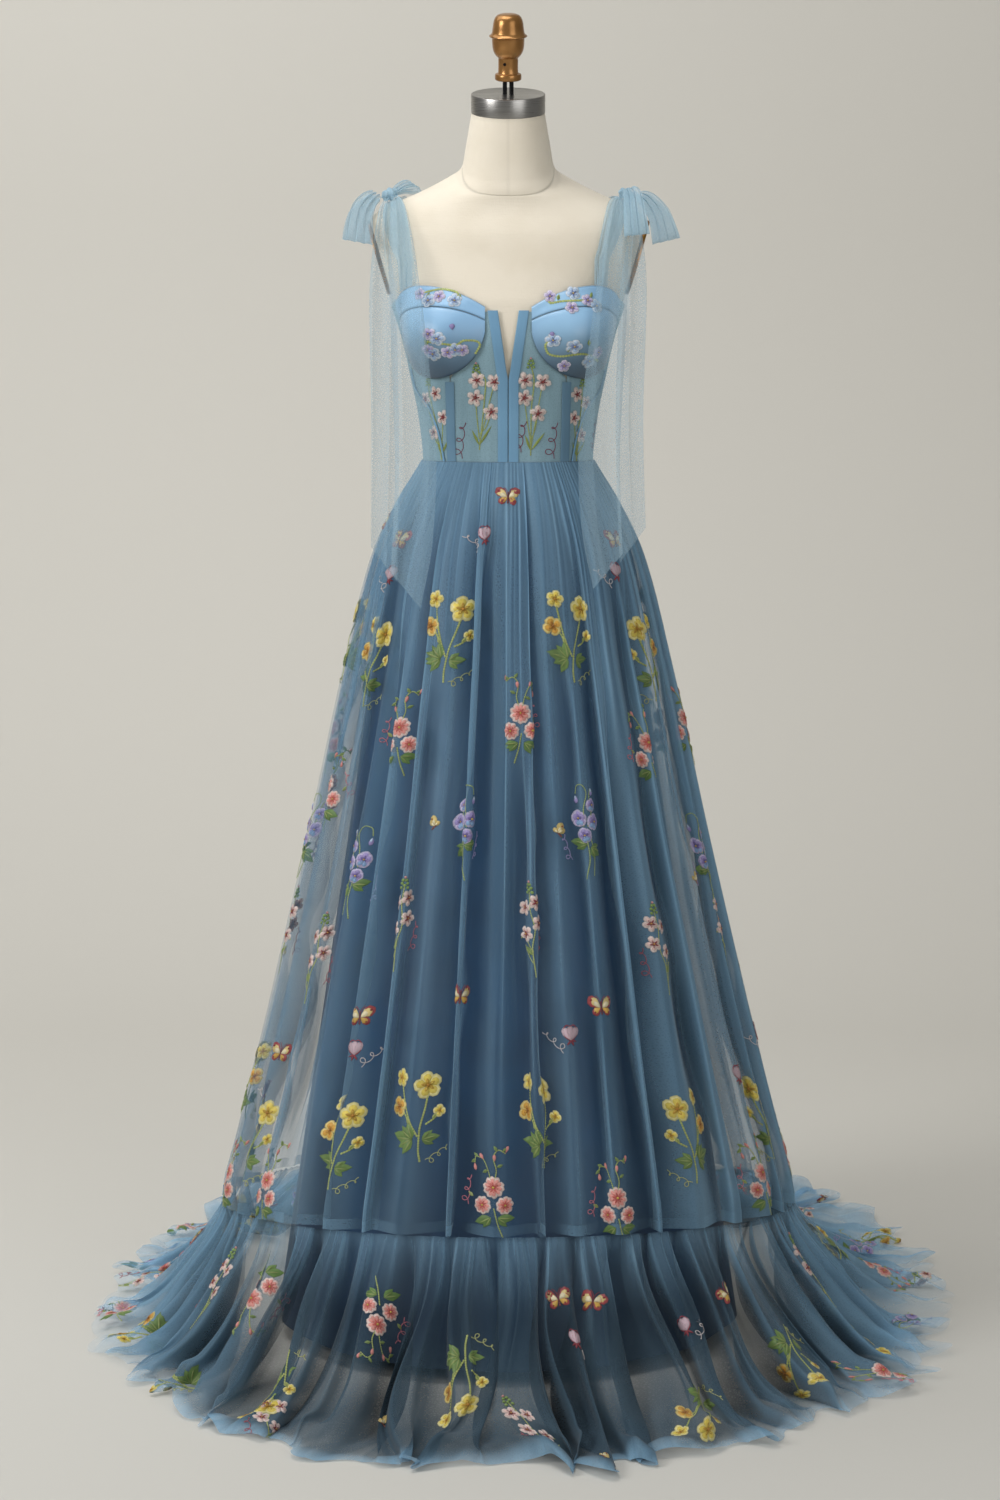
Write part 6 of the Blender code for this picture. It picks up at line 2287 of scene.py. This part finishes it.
# ---------------------------------------------------------------- the studio
@dataclass
class Studio:
    """A pale seamless floor and wall, soft lights, and a camera in front of the gown."""

    camera_place: Row = (-0.0104, -4.2, 1.30)
    camera_pitch_deg: float = 7.237
    sensor: float = 36.0
    lens: float = 77.6
    wall_y: float = 3.4
    bend_radius: float = 1.6
    half_width: float = 7.0
    front_y: float = -7.0
    wall_top: float = 6.0
    floor_colour: str = "#cbc9c2"
    wall_colour: str = "#d6d3cb"

    def _camera(self) -> None:
        """The camera, level with the bodice and looking slightly down."""
        data = bpy.data.cameras.new("camera")
        data.sensor_width, data.lens = self.sensor, self.lens
        camera = add_object("camera", data)
        camera.location = self.camera_place
        camera.rotation_euler = (math.radians(90 - self.camera_pitch_deg), 0, 0)
        bpy.context.scene.camera = camera

    def _backdrop(self) -> None:
        """The floor runs up into the wall in one bend, its paper coloured in a painted light gradient.
        """
        r, wide = self.bend_radius, self.half_width
        bend = [(self.wall_y - r + r * math.sin(a), r - r * math.cos(a))
                for a in np.linspace(0, math.pi / 2, 25)]
        profile = [(self.front_y, 0.0), *bend, (self.wall_y, self.wall_top)]
        mesh = bpy.data.meshes.new("studio_floor")
        mesh.from_pydata([(x, y, z) for y, z in profile for x in (-wide, wide)], [],
                         grid_faces(len(profile), 2).tolist())
        mesh.shade_smooth()
        paper = bpy.data.materials.new("studio_paper")
        paper.use_nodes = True
        tree = paper.node_tree
        shader = tree.nodes["Principled BSDF"]
        shader.inputs["Roughness"].default_value = 0.9
        # the paper's colour runs from floor_colour, low and near the front, to wall_colour, far back
        # and up the wall: a painted light gradient
        place = add_node(tree, "ShaderNodeTexCoord").outputs["Object"]
        way = add_node(tree, "ShaderNodeVectorMath", {
            "operation": "DOT_PRODUCT", 0: place, 1: (0.0, 0.22, 0.30)})
        painted_gradient = add_node(tree, "ShaderNodeMath", {
            "operation": "ADD", 0: way.outputs["Value"], 1: 0.22})
        ramp = add_node(tree, "ShaderNodeValToRGB", {"Fac": painted_gradient.outputs["Value"]})
        for stop, code in zip(ramp.color_ramp.elements, (self.floor_colour, self.wall_colour)):
            stop.color = linear(code)
        tree.links.new(ramp.outputs["Color"], shader.inputs["Base Color"])
        # seen from behind, the wall is clear, so that it hides nothing of the gown's back
        behind = add_node(tree, "ShaderNodeNewGeometry").outputs["Backfacing"]
        clear = add_node(tree, "ShaderNodeBsdfTransparent").outputs[0]
        seen = add_node(tree, "ShaderNodeMixShader", {
            0: behind, 1: shader.outputs["BSDF"], 2: clear})
        tree.links.new(seen.outputs[0], tree.nodes["Material Output"].inputs["Surface"])
        mesh.materials.append(paper)
        add_object("studio_floor", mesh)

    def _light(self, name: str, place: Row, size: float, watts: float,
               aim: Row = (0.0, 0.0, 0.8)) -> None:
        """A square soft light that looks at the gown's middle, or at another place."""
        data = bpy.data.lights.new(name, "AREA")
        data.size, data.energy = size, watts
        light = add_object(name, data)
        light.location = place
        light.rotation_euler = (Vector(aim) - Vector(place)).to_track_quat("-Z", "Y").to_euler()

    def build(self) -> None:
        """Builds the backdrop, the camera and the lights."""
        self._camera()
        self._backdrop()
        self._light("key", (-3.3, -2.4, 2.5), 1.6, 92)
        self._light("fill", (2.6, -4.2, 2.0), 3.0, 54)
        self._light("top", (-0.5, -0.8, 4.0), 1.8, 43)
        self._light("wall", (-1.6, 0.9, 3.9), 3.0, 50, (-0.6, 3.4, 1.2))
        world = bpy.data.worlds.new("studio")
        world.use_nodes = True
        sky = world.node_tree.nodes["Background"].inputs
        sky["Color"].default_value, sky["Strength"].default_value = linear("#f2f1ee"), 0.25
        bpy.context.scene.world = world
        # light crosses many layers of net on its way, more than the usual eight
        bpy.context.scene.cycles.transparent_max_bounces = 32
        bpy.context.scene.view_settings.view_transform = "Standard"
        LOG.info("studio: camera, backdrop and four lights")


def main() -> None:
    """Builds the studio, the form and the gown."""
    logging.basicConfig(level=logging.INFO, format="%(message)s")
    Studio().build()
    form = DressForm()
    form.build()
    bodice = Bodice(form)
    bodice.build()
    Ribbons(form, bodice).build()
    skirt = Skirt()
    skirt.build_lining()
    skirt.build_overlay()
    skirt.build_ruffle()


if __name__ == "__main__":
    main()
